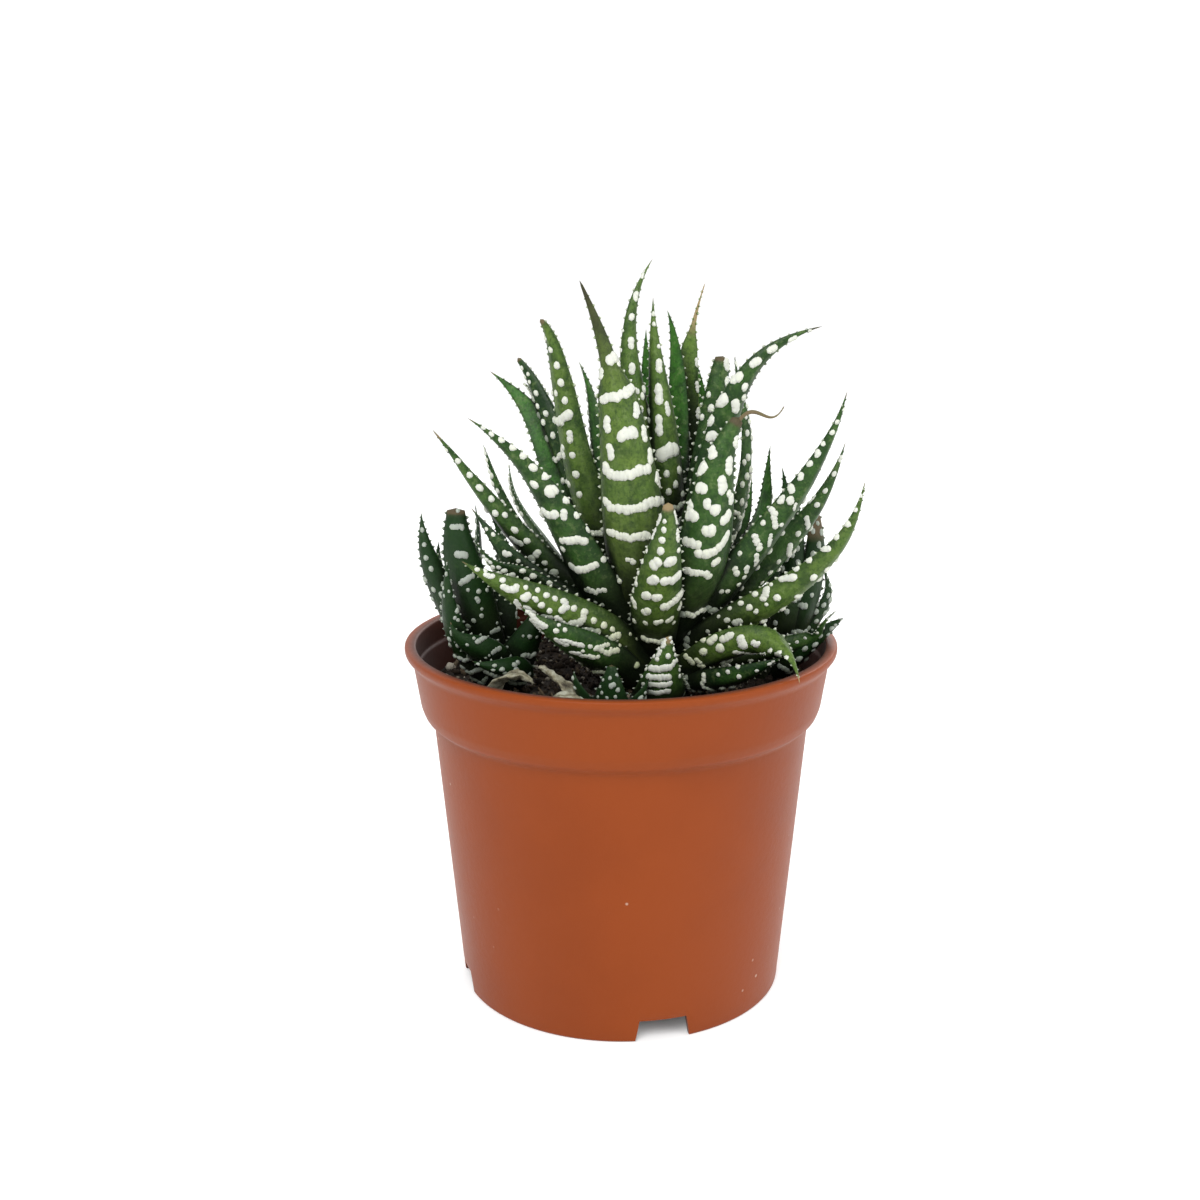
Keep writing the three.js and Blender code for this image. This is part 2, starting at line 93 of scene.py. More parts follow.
# %% Pixels
def to_pixels(points):
    """The photograph's pixel of each point of an array of (x, y, z) in metres."""
    local = (np.asarray(points) - np.array(camera_place)) @ np.array(camera_turn)
    depth = -local[..., 2]
    across = IMAGE_SIZE / 2 + FOCAL_PIXELS * local[..., 0] / depth
    down = IMAGE_SIZE / 2 - FOCAL_PIXELS * local[..., 1] / depth
    return np.stack([across, down], axis=-1)


print("rim's left and right pixels:", to_pixels([[-0.0425, 0, 0.0705], [0.0425, 0, 0.0705]]).round(1))

# %% [markdown]
# ## Writing a shader as an expression
# A material is a small calculation. Wrapping a socket in a class lets the calculation be written
# as one reads it, and each operator adds its Math node. Colours go through Mix nodes instead,
# because a Math node would turn them grey.


# %% Shader helpers
class Socket:
    """One output in a material's nodes, with maths as operators."""

    def __init__(self, shader, output):
        self.shader = shader
        self.output = output

    def math(self, operation, first, second):
        return self.shader.node("ShaderNodeMath", {0: first, 1: second}, operation=operation)

    def __add__(self, other):
        return self.math("ADD", self, other)

    def __rsub__(self, other):
        return self.math("SUBTRACT", other, self)

    def __mul__(self, other):
        return self.math("MULTIPLY", self, other)

    def __pow__(self, other):
        return self.math("POWER", self, other)

    __radd__ = __add__
    __rmul__ = __mul__


class Shader:
    """A material under construction."""

    def __init__(self, name):
        self.material = bpy.data.materials.new(name)
        self.material.use_nodes = True
        self.tree = self.material.node_tree
        self.principled = self.tree.nodes["Principled BSDF"]

    def node(self, kind, sockets=None, out=0, stops=None, **settings):
        """Adds a node, first with its settings, then with the values or links of its sockets."""
        made = self.tree.nodes.new(kind)
        for name, value in settings.items():
            setattr(made, name, value)
        if stops:
            elements = made.color_ramp.elements
            while len(elements) < len(stops):
                elements.new(1)
            for element, (place, colour) in zip(elements, stops):
                element.position = place
                element.color = (*colour, 1)
        for name, value in (sockets or {}).items():
            self.feed(made.inputs[name], value)
        return Socket(self, made.outputs[out])

    def feed(self, socket, value):
        """Links a socket to another's output, or gives it a plain value."""
        if isinstance(value, Socket):
            self.tree.links.new(value.output, socket)
        elif isinstance(value, tuple) and len(value) == 3 and socket.type == "RGBA":
            socket.default_value = (*value, 1)
        else:
            socket.default_value = value

    def attribute(self, name):
        return self.node("ShaderNodeAttribute", out="Fac", attribute_name=name)

    def place(self):
        return self.node("ShaderNodeTexCoord", out="Object")

    def noise(self, scale, detail=3.0, roughness=0.5, where=None):
        """Cloudy values round 0.5. The scale is in clouds to a metre."""
        where = where or self.place()
        sockets = {"Vector": where, "Scale": scale, "Detail": detail, "Roughness": roughness}
        return self.node("ShaderNodeTexNoise", sockets)

    def ramp(self, value, low, high):
        """0 below low, 1 above high, and smooth between."""
        sockets = {"Value": value, "From Min": low, "From Max": high}
        return self.node("ShaderNodeMapRange", sockets, interpolation_type="SMOOTHSTEP")

    def mix(self, first, second, share):
        return self.node("ShaderNodeMix", {0: share, 6: first, 7: second}, out=2, data_type="RGBA")

    def finish(self, colour, roughness, height=None, depth=0.0, **fixed):
        """Feeds the surface. The height is in shares of the depth, which is in metres."""
        self.feed(self.principled.inputs["Base Color"], colour)
        self.feed(self.principled.inputs["Roughness"], roughness)
        if height is not None:
            bump = self.node("ShaderNodeBump", {"Strength": 1.0, "Distance": depth, "Height": height})
            self.feed(self.principled.inputs["Normal"], bump)
        for name, value in fixed.items():
            self.principled.inputs[name.replace("_", " ")].default_value = value
        return self.material


print("shader helpers:", [name for name in vars(Shader) if not name.startswith("_")])

# %% [markdown]
# ## From a mesh to a finished piece
# A bmesh is Blender's mesh for editing, and every shape here starts as one. Each piece then ends
# the same way: as a smooth shaded mesh with one material, on an object at the origin, which takes
# the place of a node of the packed model. The shapes are thought out in millimetres.


# %% Piece helpers
def mesh_from(bm, name="part"):
    """A mesh of a bmesh, which is then given up."""
    mesh = bpy.data.meshes.new(name)
    bm.to_mesh(mesh)
    bm.free()
    return mesh


def smooth_object(bm, name, material):
    """A smooth shaded object of a bmesh."""
    mesh = mesh_from(bm, name)
    mesh.polygons.foreach_set("use_smooth", [True] * len(mesh.polygons))
    mesh.materials.append(material)
    return linked(name, mesh)


def piece_from(bm, name, material, replaces):
    """Turns a bmesh into a finished piece with one material, which rides on the body and hides the nodes
    it replaces.
    """
    piece = smooth_object(bm, name, material)
    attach(piece, "root")
    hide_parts(*replaces)
    return piece


def in_metres(bm):
    """The same bmesh, shrunk from millimetres to metres."""
    bmesh.ops.scale(bm, verts=bm.verts, vec=(MM, MM, MM))
    return bm


def set_values(mesh, **values):
    """Stores numbers on a mesh's points under their names."""
    for name, numbers in values.items():
        layer = mesh.attributes.new(name, "FLOAT", "POINT")
        numbers = np.broadcast_to(numbers, len(mesh.vertices))
        layer.data.foreach_set("value", numbers.astype(np.float32))


print("one millimetre is", MM, "of Blender's units")

# %% [markdown]
# ## The pot's plastic
# Nursery pots are moulded from recycled terracotta coloured plastic. The colour is even, with a
# faint cloudiness, the surface is satin with fine scuffs, and a few pale specks of dried soil and
# hard water sit on it. A little sheen pales the edges. Inside, a value on the pot's points mixes in
# a dark brown, which is painted shade. A photograph of plastic wrapped round the pot could give
# the clouds and the specks too, but noise has no seam and no end.

# %% Pot material
TERRACOTTA = (0.228, 0.041, 0.003)
TERRACOTTA_DEEP = (0.207, 0.036, 0.002)
INSIDE_SHADE = (0.016, 0.004, 0.003)
SPECK = (0.55, 0.42, 0.32)
SPECK_CELLS, SPECK_PATCHES = 260.0, 55

pot_shader = Shader("terracotta_plastic")
clouds = pot_shader.noise(30, 4)
fine = pot_shader.noise(900, 2)
grain = pot_shader.noise(4200, 2)
cells = pot_shader.node("ShaderNodeTexVoronoi", {"Vector": pot_shader.place(), "Scale": SPECK_CELLS})
speckled = pot_shader.ramp(pot_shader.noise(SPECK_PATCHES, 2), 0.6, 0.68)
speck = (1 - pot_shader.ramp(cells, 0.05, 0.11)) * speckled
plastic = pot_shader.mix(TERRACOTTA_DEEP, TERRACOTTA, pot_shader.ramp(clouds, 0.3, 0.62))
plastic = pot_shader.mix(plastic, SPECK, speck * 0.55)
# Painted shade: dark brown inside the wall, deeper down, and on the inner half of the lip.
plastic = pot_shader.mix(plastic, INSIDE_SHADE, pot_shader.attribute("inside") * (0.7 + 0.4 * clouds))
pot_material = pot_shader.finish(
    plastic,
    0.36 + 0.16 * clouds + 0.08 * fine,
    height=fine * 0.6 + grain * 0.4 + speck,
    depth=0.05 * MM,
    IOR=1.45,
    Specular_IOR_Level=0.22,
    Sheen_Weight=0.06,
    Sheen_Roughness=0.35,
)
print("nodes in the plastic:", len(pot_shader.tree.nodes))

# %% [markdown]
# ## The pot's outline
# The pot is one thin moulded wall: a foot ring round a raised floor, a tapering body, a step, a
# deeper collar and a rolled lip with a ledge inside it. A surface with a Solidify modifier could
# be such a wall, but the ledge and the floor are on one side only. So both sides are drawn as one
# outline that starts and ends on the axis. Its corners are rounded as a mould's are.

# %% Pot outline
POT_HEIGHT = 70.5
WALL = 1.25
FOOT_RADIUS, STEP_RADIUS, STEP_HEIGHT = 32.2, 37.2, 55.4
COLLAR_FOOT_RADIUS, COLLAR_FOOT, COLLAR_TOP_RADIUS = 39.6, 58.6, 41
COLLAR_BEND_IN, COLLAR_BEND_DROP = 0.7, 1.9
LIP_RADIUS, LIP_DEPTH = 42.5, 1.8
LIP_SLOPE_DROP, LIP_SLOPE_RISE = 1.1, 0.5
LEDGE_DEPTH, LEDGE_WIDTH, LEDGE_SLOPE = 4.5, 0.5, 0.5
FLOOR_HEIGHT, FLOOR_CORNER = 5, 0.6
CORNER_ROUNDING = 0.55
ARC_STEPS = 4


def wall_inside(height):
    """The wall's inner radius at a height on the tapering body, in millimetres."""
    return FOOT_RADIUS + (STEP_RADIUS - FOOT_RADIUS) * height / STEP_HEIGHT - WALL


def pot_outline():
    """The wall's section as (radius, height), under the floor, up the outside and down inside."""
    lip_foot = POT_HEIGHT - LIP_DEPTH
    lip_inner = COLLAR_TOP_RADIUS - WALL + LEDGE_WIDTH
    ledge = POT_HEIGHT - LEDGE_DEPTH
    return [
        (0, FLOOR_HEIGHT),
        (wall_inside(0) - FLOOR_CORNER, FLOOR_HEIGHT),
        (wall_inside(0), FLOOR_HEIGHT - FLOOR_CORNER),
        (wall_inside(0), 0),
        (FOOT_RADIUS, 0),
        (STEP_RADIUS, STEP_HEIGHT),
        (COLLAR_FOOT_RADIUS - COLLAR_BEND_IN, COLLAR_FOOT - COLLAR_BEND_DROP),
        (COLLAR_FOOT_RADIUS, COLLAR_FOOT),
        (COLLAR_TOP_RADIUS, lip_foot - LIP_SLOPE_DROP),
        (LIP_RADIUS, lip_foot + LIP_SLOPE_RISE),
        (LIP_RADIUS, POT_HEIGHT),
        (lip_inner, POT_HEIGHT),
        (lip_inner, ledge),
        (lip_inner - LEDGE_WIDTH, ledge - LEDGE_SLOPE),
        (COLLAR_FOOT_RADIUS - WALL, COLLAR_FOOT),
        (wall_inside(STEP_HEIGHT), STEP_HEIGHT - 0.5),
        (wall_inside(FLOOR_HEIGHT + WALL), FLOOR_HEIGHT + WALL),
        (0, FLOOR_HEIGHT + WALL),
    ]


def rounded(corners, radius):
    """An outline with each corner replaced by a small arc, as (across, up) points."""
    points = [Vector(corner) for corner in corners]
    outline = [points[0]]
    for before, corner, after in zip(points, points[1:], points[2:]):
        reach = min(radius, (before - corner).length * 0.45, (after - corner).length * 0.45)
        start = corner + (before - corner).normalized() * reach
        end = corner + (after - corner).normalized() * reach
        for step in range(ARC_STEPS + 1):
            t = step / ARC_STEPS
            outline.append(start * (1 - t) ** 2 + corner * 2 * t * (1 - t) + end * t ** 2)
    return outline + [points[-1]]


outline = [(radius * MM, height * MM) for radius, height in pot_outline()]
outline = rounded(outline, CORNER_ROUNDING * MM)
print("points of the rounded outline:", len(outline))

# %% [markdown]
# ## The pot's wall
# Spinning the outline makes the wall. Smooth shading runs from one point to the next, so the
# notches that come later would pull streaks up a tall face. Rings of points every few millimetres
# keep any such streak short.

# %% Pot wall
POT_SIDES = 180
RING_SPACING = 3


def ringed(outline, longest):
    """The same outline with points along its long straight stretches."""
    points = []
    for start, end in zip(outline, outline[1:]):
        count = max(1, math.ceil(math.dist(start, end) / longest))
        points += [tuple(Vector(start).lerp(Vector(end), i / count)) for i in range(count)]
    return points + [outline[-1]]


def turned(outline, sides):
    """A bmesh with an outline of (radius, height) revolved round the pot's axis."""
    bm = bmesh.new()
    verts = [bm.verts.new((point[0], 0, point[1])) for point in outline]
    edges = [bm.edges.new(pair) for pair in zip(verts, verts[1:])]
    bmesh.ops.spin(bm, geom=verts + edges, axis=(0, 0, 1), angle=math.tau, steps=sides, use_merge=True)
    bmesh.ops.remove_doubles(bm, verts=bm.verts, dist=0.001 * MM)
    bmesh.ops.recalc_face_normals(bm, faces=bm.faces)
    return bm


outline = ringed(outline, RING_SPACING * MM)
pot = piece_from(turned(outline, POT_SIDES), "pot_fine", pot_material, ["pot"])
print("faces of the uncut wall:", len(pot.data.polygons))

# %% [markdown]
# ## Drainage notches
# Water leaves through notches in the foot ring. A straight sided notch crosses the facets of a
# spun wall, so it is cut with a boolean: four wedges are taken away, and a narrow bevel softens
# the cut edges, as the plastic is never quite sharp there.

# %% Notches
NOTCHES, FIRST_NOTCH = 4, -76.4
NOTCH_WIDTH, NOTCH_TOP_WIDTH, NOTCH_HEIGHT, NOTCH_REACH = 11, 9.2, 4.5, 8
NOTCH_BEVEL, BEVELLED_ANGLE = 0.18, 50


def notch_cutter():
    """Upright wedges, one across each drainage notch."""
    bm = bmesh.new()
    for i in range(NOTCHES):
        made = bmesh.ops.create_cube(bm, size=1)["verts"]
        for vert in made:
            up = vert.co.z > 0
            vert.co.x = FOOT_RADIUS + vert.co.x * NOTCH_REACH
            vert.co.y *= NOTCH_TOP_WIDTH if up else NOTCH_WIDTH
            vert.co.z = NOTCH_HEIGHT if up else -1
        angle = math.radians(FIRST_NOTCH + i * 360 / NOTCHES)
        bmesh.ops.rotate(bm, verts=made, matrix=Matrix.Rotation(angle, 3, "Z"))
    return in_metres(bm)


cutter = linked("notches", mesh_from(notch_cutter(), "notches"))
cut = pot.modifiers.new("cut", "BOOLEAN")
cut.operation, cut.object, cut.solver = "DIFFERENCE", cutter, "EXACT"
soften = pot.modifiers.new("soften", "BEVEL")
soften.limit_method, soften.angle_limit = "ANGLE", math.radians(BEVELLED_ANGLE)
soften.width, soften.segments = NOTCH_BEVEL * MM, 2
finished = pot.evaluated_get(bpy.context.evaluated_depsgraph_get())
notched = bpy.data.meshes.new_from_object(finished)
pot.modifiers.clear()
pot.data = notched
bpy.data.objects.remove(cutter)
print("pot faces:", len(pot.data.polygons))

# %% [markdown]
# ## The pot's dark inside
# The photograph shows the wall dark brown inside, darker the deeper it goes, and on the inner half
# of the lip's top; this is shade, painted into the plastic's colour. A point's height and its
# distance from the axis tell which it is, and one value on the point carries that to the material.

# %% Pot's inside
OUTER_SKIN = 0.3
INSIDE_DEPTHS, INSIDE_SHARES = [0.05, 0.5, 3, 6], [0, 0.8, 0.93, 1]
LIP_TOP = 0.56
LIP_SHADE, LIP_SHADE_FULL, LIP_SHADE_STARTS = 0.75, 1.7, 0.5

spots = np.array([vert.co for vert in pot.data.vertices]) / MM
radius = np.hypot(spots[:, 0], spots[:, 1])
below_rim = POT_HEIGHT - spots[:, 2]
heights = [0, STEP_HEIGHT, COLLAR_FOOT, POT_HEIGHT - LIP_DEPTH]
radii = [FOOT_RADIUS, STEP_RADIUS, COLLAR_FOOT_RADIUS, COLLAR_TOP_RADIUS]
outer = np.interp(spots[:, 2], heights, radii)
# Painted shade inside the wall, growing below the rim; the lip's inner half gets some as well.
inside = np.where(radius < outer - OUTER_SKIN, np.interp(below_rim, INSIDE_DEPTHS, INSIDE_SHARES), 0)
shaded = [LIP_RADIUS - LIP_SHADE_FULL, LIP_RADIUS - LIP_SHADE_STARTS]
lip_shade = np.interp(radius, shaded, [LIP_SHADE, 0])
inside = np.where(below_rim < LIP_TOP, np.maximum(inside, lip_shade), inside)
set_values(pot.data, inside=inside)
print("points on the pot's dark side:", int((inside > 0.5).sum()), "of", len(inside))

# %% [markdown]
# ## Peat and grit
# The soil is dark peat with pale grit. One material serves the ground and everything strewn on
# it: a value on each point is 0 for the ground, and says for a crumb how pale it is.

# %% Soil material
PEAT_STOPS = [(0.3, (0.004, 0.003, 0.002)), (0.52, (0.020, 0.013, 0.008)), (0.75, (0.055, 0.036, 0.022))]
GRIT_STOPS = [
    (0.0, (0.010, 0.006, 0.004)),
    (0.6, (0.032, 0.021, 0.012)),
    (0.86, (0.12, 0.09, 0.055)),
    (1.0, (0.5, 0.46, 0.38)),
]

soil_shader = Shader("peat")
crumb = soil_shader.attribute("crumb")
dirt = soil_shader.noise(700, 5, 0.7)
peat = soil_shader.node("ShaderNodeValToRGB", {"Fac": dirt}, stops=PEAT_STOPS)
grit = soil_shader.node("ShaderNodeValToRGB", {"Fac": crumb}, stops=GRIT_STOPS)
soil_material = soil_shader.finish(
    soil_shader.mix(peat, grit, soil_shader.ramp(crumb, 0.02, 0.06)),
    0.92,
    height=soil_shader.noise(1500, 4, 0.7),
    depth=0.5 * MM,
    Specular_IOR_Level=0.25,
)
print("nodes in the soil:", len(soil_shader.tree.nodes))

# %% [markdown]
# ## The ground
# The soil fills the pot and lies a little below the ledge. It is spun like the pot, and noise
# lifts its top into lumps. The lumps fade out towards the wall, so that nothing pokes through it.

# %% Ground
SOIL_HEIGHT = 61
SOIL_GAP = 0.3
SOIL_SIDES, SOIL_RINGS = 120, 44
LUMP_HEIGHT, LUMPS_PER_MM = 0.9, 0.12
LUMPS_END = 38


def soil_top(x, y):
    """Height of the soil's surface at a place, all in millimetres."""
    rough = noise.fractal(Vector((x * LUMPS_PER_MM, y * LUMPS_PER_MM, 3.0)), 1.0, 2.1, 4)
    from_wall = max(0.0, 1 - math.hypot(x, y) / LUMPS_END)
    return SOIL_HEIGHT + LUMP_HEIGHT * rough * min(1, from_wall * 8)


def ground_shape():
    """A bmesh of the soil without its crumbs, in millimetres."""
    collar = COLLAR_FOOT_RADIUS - WALL - SOIL_GAP
    floor = FLOOR_HEIGHT + WALL + SOIL_GAP
    outline = [(0, floor), (wall_inside(floor) - SOIL_GAP, floor)]
    outline += [(wall_inside(STEP_HEIGHT) - SOIL_GAP, STEP_HEIGHT), (collar, COLLAR_FOOT)]
    outline += [(collar * (1 - i / SOIL_RINGS), SOIL_HEIGHT) for i in range(SOIL_RINGS + 1)]
    bm = turned(outline, SOIL_SIDES)
    for vert in bm.verts:
        if vert.co.z > SOIL_HEIGHT - 0.1:
            vert.co.z = soil_top(vert.co.x, vert.co.y)
    return bm


ground = mesh_from(ground_shape())
set_values(ground, crumb=0.0)
print("ground faces:", len(ground.polygons))

# %% [markdown]
# ## Crumbs and flakes
# A few thousand crumbs lie on the ground, and in front, where old leaves have fallen apart, small
# pale flakes. A particle system could strew them, but then each would have one shape. Here a
# crumb is a copied sphere of twenty faces, each of its points pushed in or out by a random draw.

# %% Crumbs
CRUMBS, CRUMBS_REACH = 2600, 37.6
FLAKES, FLAKES_NEAR, FLAKES_FAR = 120, 17, 36
FLAKES_MIDDLE, FLAKES_SPREAD = 250, 45
FLAKE_LIFT = 0.4


def copies(template, count, places):
    """A bmesh of many copies of a small mesh, with its points moved to the given places."""
    bm = bmesh.new()
    for _ in range(count):
        bm.from_mesh(template)
    for vert, place in zip(bm.verts, places):
        vert.co = place
    return bm


def join(meshes):
    """One bmesh of several meshes, which are then removed."""
    bm = bmesh.new()
    for mesh in meshes:
        bm.from_mesh(mesh)
        bpy.data.meshes.remove(mesh)
    return bm


draw = random.Random("soil crumbs")
crumb_bm = bmesh.new()
bmesh.ops.create_icosphere(crumb_bm, subdivisions=1, radius=1)
crumb_mesh = mesh_from(crumb_bm)
crumb_points = [vert.co.copy() for vert in crumb_mesh.vertices]
places, paleness = [], []
for i in range(CRUMBS + FLAKES):
    flake = i >= CRUMBS
    if flake:
        radius = draw.uniform(FLAKES_NEAR, FLAKES_FAR)
        angle = math.radians(draw.gauss(FLAKES_MIDDLE, FLAKES_SPREAD))
    else:
        radius = CRUMBS_REACH * math.sqrt(draw.random())
        angle = draw.uniform(0, math.tau)
    size = draw.uniform(0.25, 0.75) if draw.random() < 0.9 else draw.uniform(0.8, 1.4)
    x, y = radius * math.cos(angle), radius * math.sin(angle)
    place = Vector((x, y, soil_top(x, y) + size * 0.35))
    turn = Matrix.Rotation(draw.uniform(0, math.tau), 3, Vector((draw.random(), draw.random(), 1)))
    stretch = Vector((draw.uniform(0.6, 1.3), draw.uniform(0.5, 1), draw.uniform(0.4, 0.8))) * size
    if flake:
        place.z += FLAKE_LIFT
        stretch = Vector((0.5 + 2 * size, 0.3 + 0.5 * size, 0.22))
    pale = draw.uniform(0.72, 0.97) if flake else 0.1 + 0.9 * draw.random() ** 2.2
    paleness += [pale] * len(crumb_points)
    for point in crumb_points:
        rough = Vector([a * b * draw.uniform(0.8, 1.15) for a, b in zip(point, stretch)])
        places.append(place + turn @ rough)
crumbs = mesh_from(copies(crumb_mesh, CRUMBS + FLAKES, places))
set_values(crumbs, crumb=paleness)
soil = piece_from(in_metres(join([ground, crumbs])), "soil_fine", soil_material, ["soil"])
print("soil faces:", len(soil.data.polygons))

# %% [markdown]
# ## Leaf skin
# The skin is thick and satin. It is darker at the leaf's edges, brighter and plainer on the smooth
# face, and cloudy with lighter and darker flecks. Its foot is browner and darker: a brown tinge with
# painted shade over it. Deep between the leaves the skin and the bumps get painted shade. The bumps
# are chalky white on top and pick up green where they rise out of the skin. A painted picture could
# hold all this, but it would need a layout for every leaf. Instead each leaf carries these facts as
# values on its points, so one material serves them all and nothing slides when the leaf moves.

# %% Leaf material
SKIN_DARK = (0.007, 0.026, 0.006)
SKIN_MID = (0.033, 0.086, 0.015)
SKIN_BRIGHT = (0.105, 0.168, 0.028)
SKIN_PALE = (0.18, 0.24, 0.09)
FACE_GREEN = (0.036, 0.138, 0.014)
TIP_DARK = (0.030, 0.022, 0.014)
TIP_TAN = (0.33, 0.24, 0.13)
BUMP_WHITE = (0.60, 0.62, 0.54)
BUMP_YELLOW = (0.52, 0.56, 0.27)
# The next five values paint shade: on the offsets' bumps, over the leaf's foot along with a real brown
# tinge, deep between the leaves on skin and bumps, and over all of the offsets' skin.
BUMP_SHADED = (0.30, 0.34, 0.29)
FOOT_BROWN_AND_SHADE = (0.018, 0.018, 0.008)
CREVICE_SHADE = (0.004, 0.007, 0.003)
BUMP_IN_SHADE = (0.13, 0.16, 0.12)
OFFSET_PAINTED_SHADE = 0.87
LEAF_VALUES = ("along", "side", "edge", "face", "tone", "tip", "warm", "bump", "yellow", "shelter")


def leaf_material(name, dark):
    """The skin, with a share of dark green over all of it, which paints shade on the offsets."""
    shader = Shader(name)
    mix, ramp = shader.mix, shader.ramp
    along, side, edge, face, tone, tip, warm, bump, yellow, shelter = map(shader.attribute, LEAF_VALUES)
    clouds = shader.noise(160, 4, 0.6)
    patches = shader.noise(330, 4, 0.6)
    flecks = shader.noise(900, 3, 0.6)
    speckle = shader.noise(1500, 3, 0.7)
    lengthways = shader.node("ShaderNodeCombineXYZ", {0: side * 8, 1: along * 9, 2: tone * 40})
    streaks = shader.noise(1, 4, 0.6, where=lengthways)
    white = mix(BUMP_WHITE, BUMP_YELLOW, yellow)
    # Painted shade: the offsets' bumps are greyer, as they stand in shadow.
    white = mix(white, BUMP_SHADED, dark)
    # Painted shade on the bumps deep between the leaves.
    white = mix(white, BUMP_IN_SHADE, ramp(shelter, 0.15, 0.7) * 0.85)
    layers = [
        (SKIN_MID, ramp(clouds + tone * 0.5, 0.22, 0.62)),
        (SKIN_BRIGHT, ramp(tone + clouds * 0.6, 0.55, 1.2)),
        (FACE_GREEN, face * (0.8 - 0.6 * ramp(tone, 0.7, 1.2))),
        (SKIN_DARK, ramp(edge, 0.55, 1.0) * 0.55),
        (SKIN_PALE, ramp(flecks, 0.52, 0.68) * 0.3),
        (SKIN_DARK, ramp(speckle, 0.48, 0.64) * 0.45),
        (SKIN_DARK, ramp(streaks, 0.45, 0.8) * 0.3),
        (SKIN_DARK, ramp(patches, 0.46, 0.66) * 0.55),
        (SKIN_PALE, (1 - ramp(patches, 0.28, 0.42)) * 0.16),
        # Painted shade over the offsets' skin, which stands in shadow.
        (SKIN_DARK, dark),
        # The leaf's foot: a brown tinge with painted shade over it.
        (FOOT_BROWN_AND_SHADE, (1 - ramp(along, 0.06, 0.4)) * 0.8),
        # Painted shade on the skin deep between the leaves.
        (CREVICE_SHADE, ramp(shelter, 0.1, 0.55) * 0.92),
        (mix(TIP_DARK, TIP_TAN, warm), tip * (0.75 + 0.25 * flecks)),
        (white, ramp(bump + 0.12 * flecks, 0.34, 0.62)),
    ]
    skin = SKIN_DARK
    for colour, share in layers:
        skin = mix(skin, colour, share)
    return shader.finish(
        skin,
        0.36 + 0.14 * clouds + 0.2 * tip + 0.2 * ramp(bump, 0.3, 0.6),
        height=flecks * 0.6 + shader.noise(2600, 2) * 0.4,
        depth=0.16 * MM,
        IOR=1.4,
        Specular_IOR_Level=0.27,
        Subsurface_Weight=0.08,
        Subsurface_Radius=(0.8, 1.0, 0.35),
        Subsurface_Scale=0.9 * MM,
    )


leaf_skin = leaf_material("leaf_skin", 0.0)
offset_shaded_skin = leaf_material("offset_shaded_skin", OFFSET_PAINTED_SHADE)
print("leaf materials:", leaf_skin.name, offset_shaded_skin.name)

# %% [markdown]
# ## The leaves' places
# Forty three leaves grow from one short stem. The rows are the packed model's own, in millimetres
# from the crown: height of the root, low point, high point, tip, width, the compass angle that
# the back faces, and the share of the natural length that is left. A withered tip adds where it
# starts and how much narrower it is.

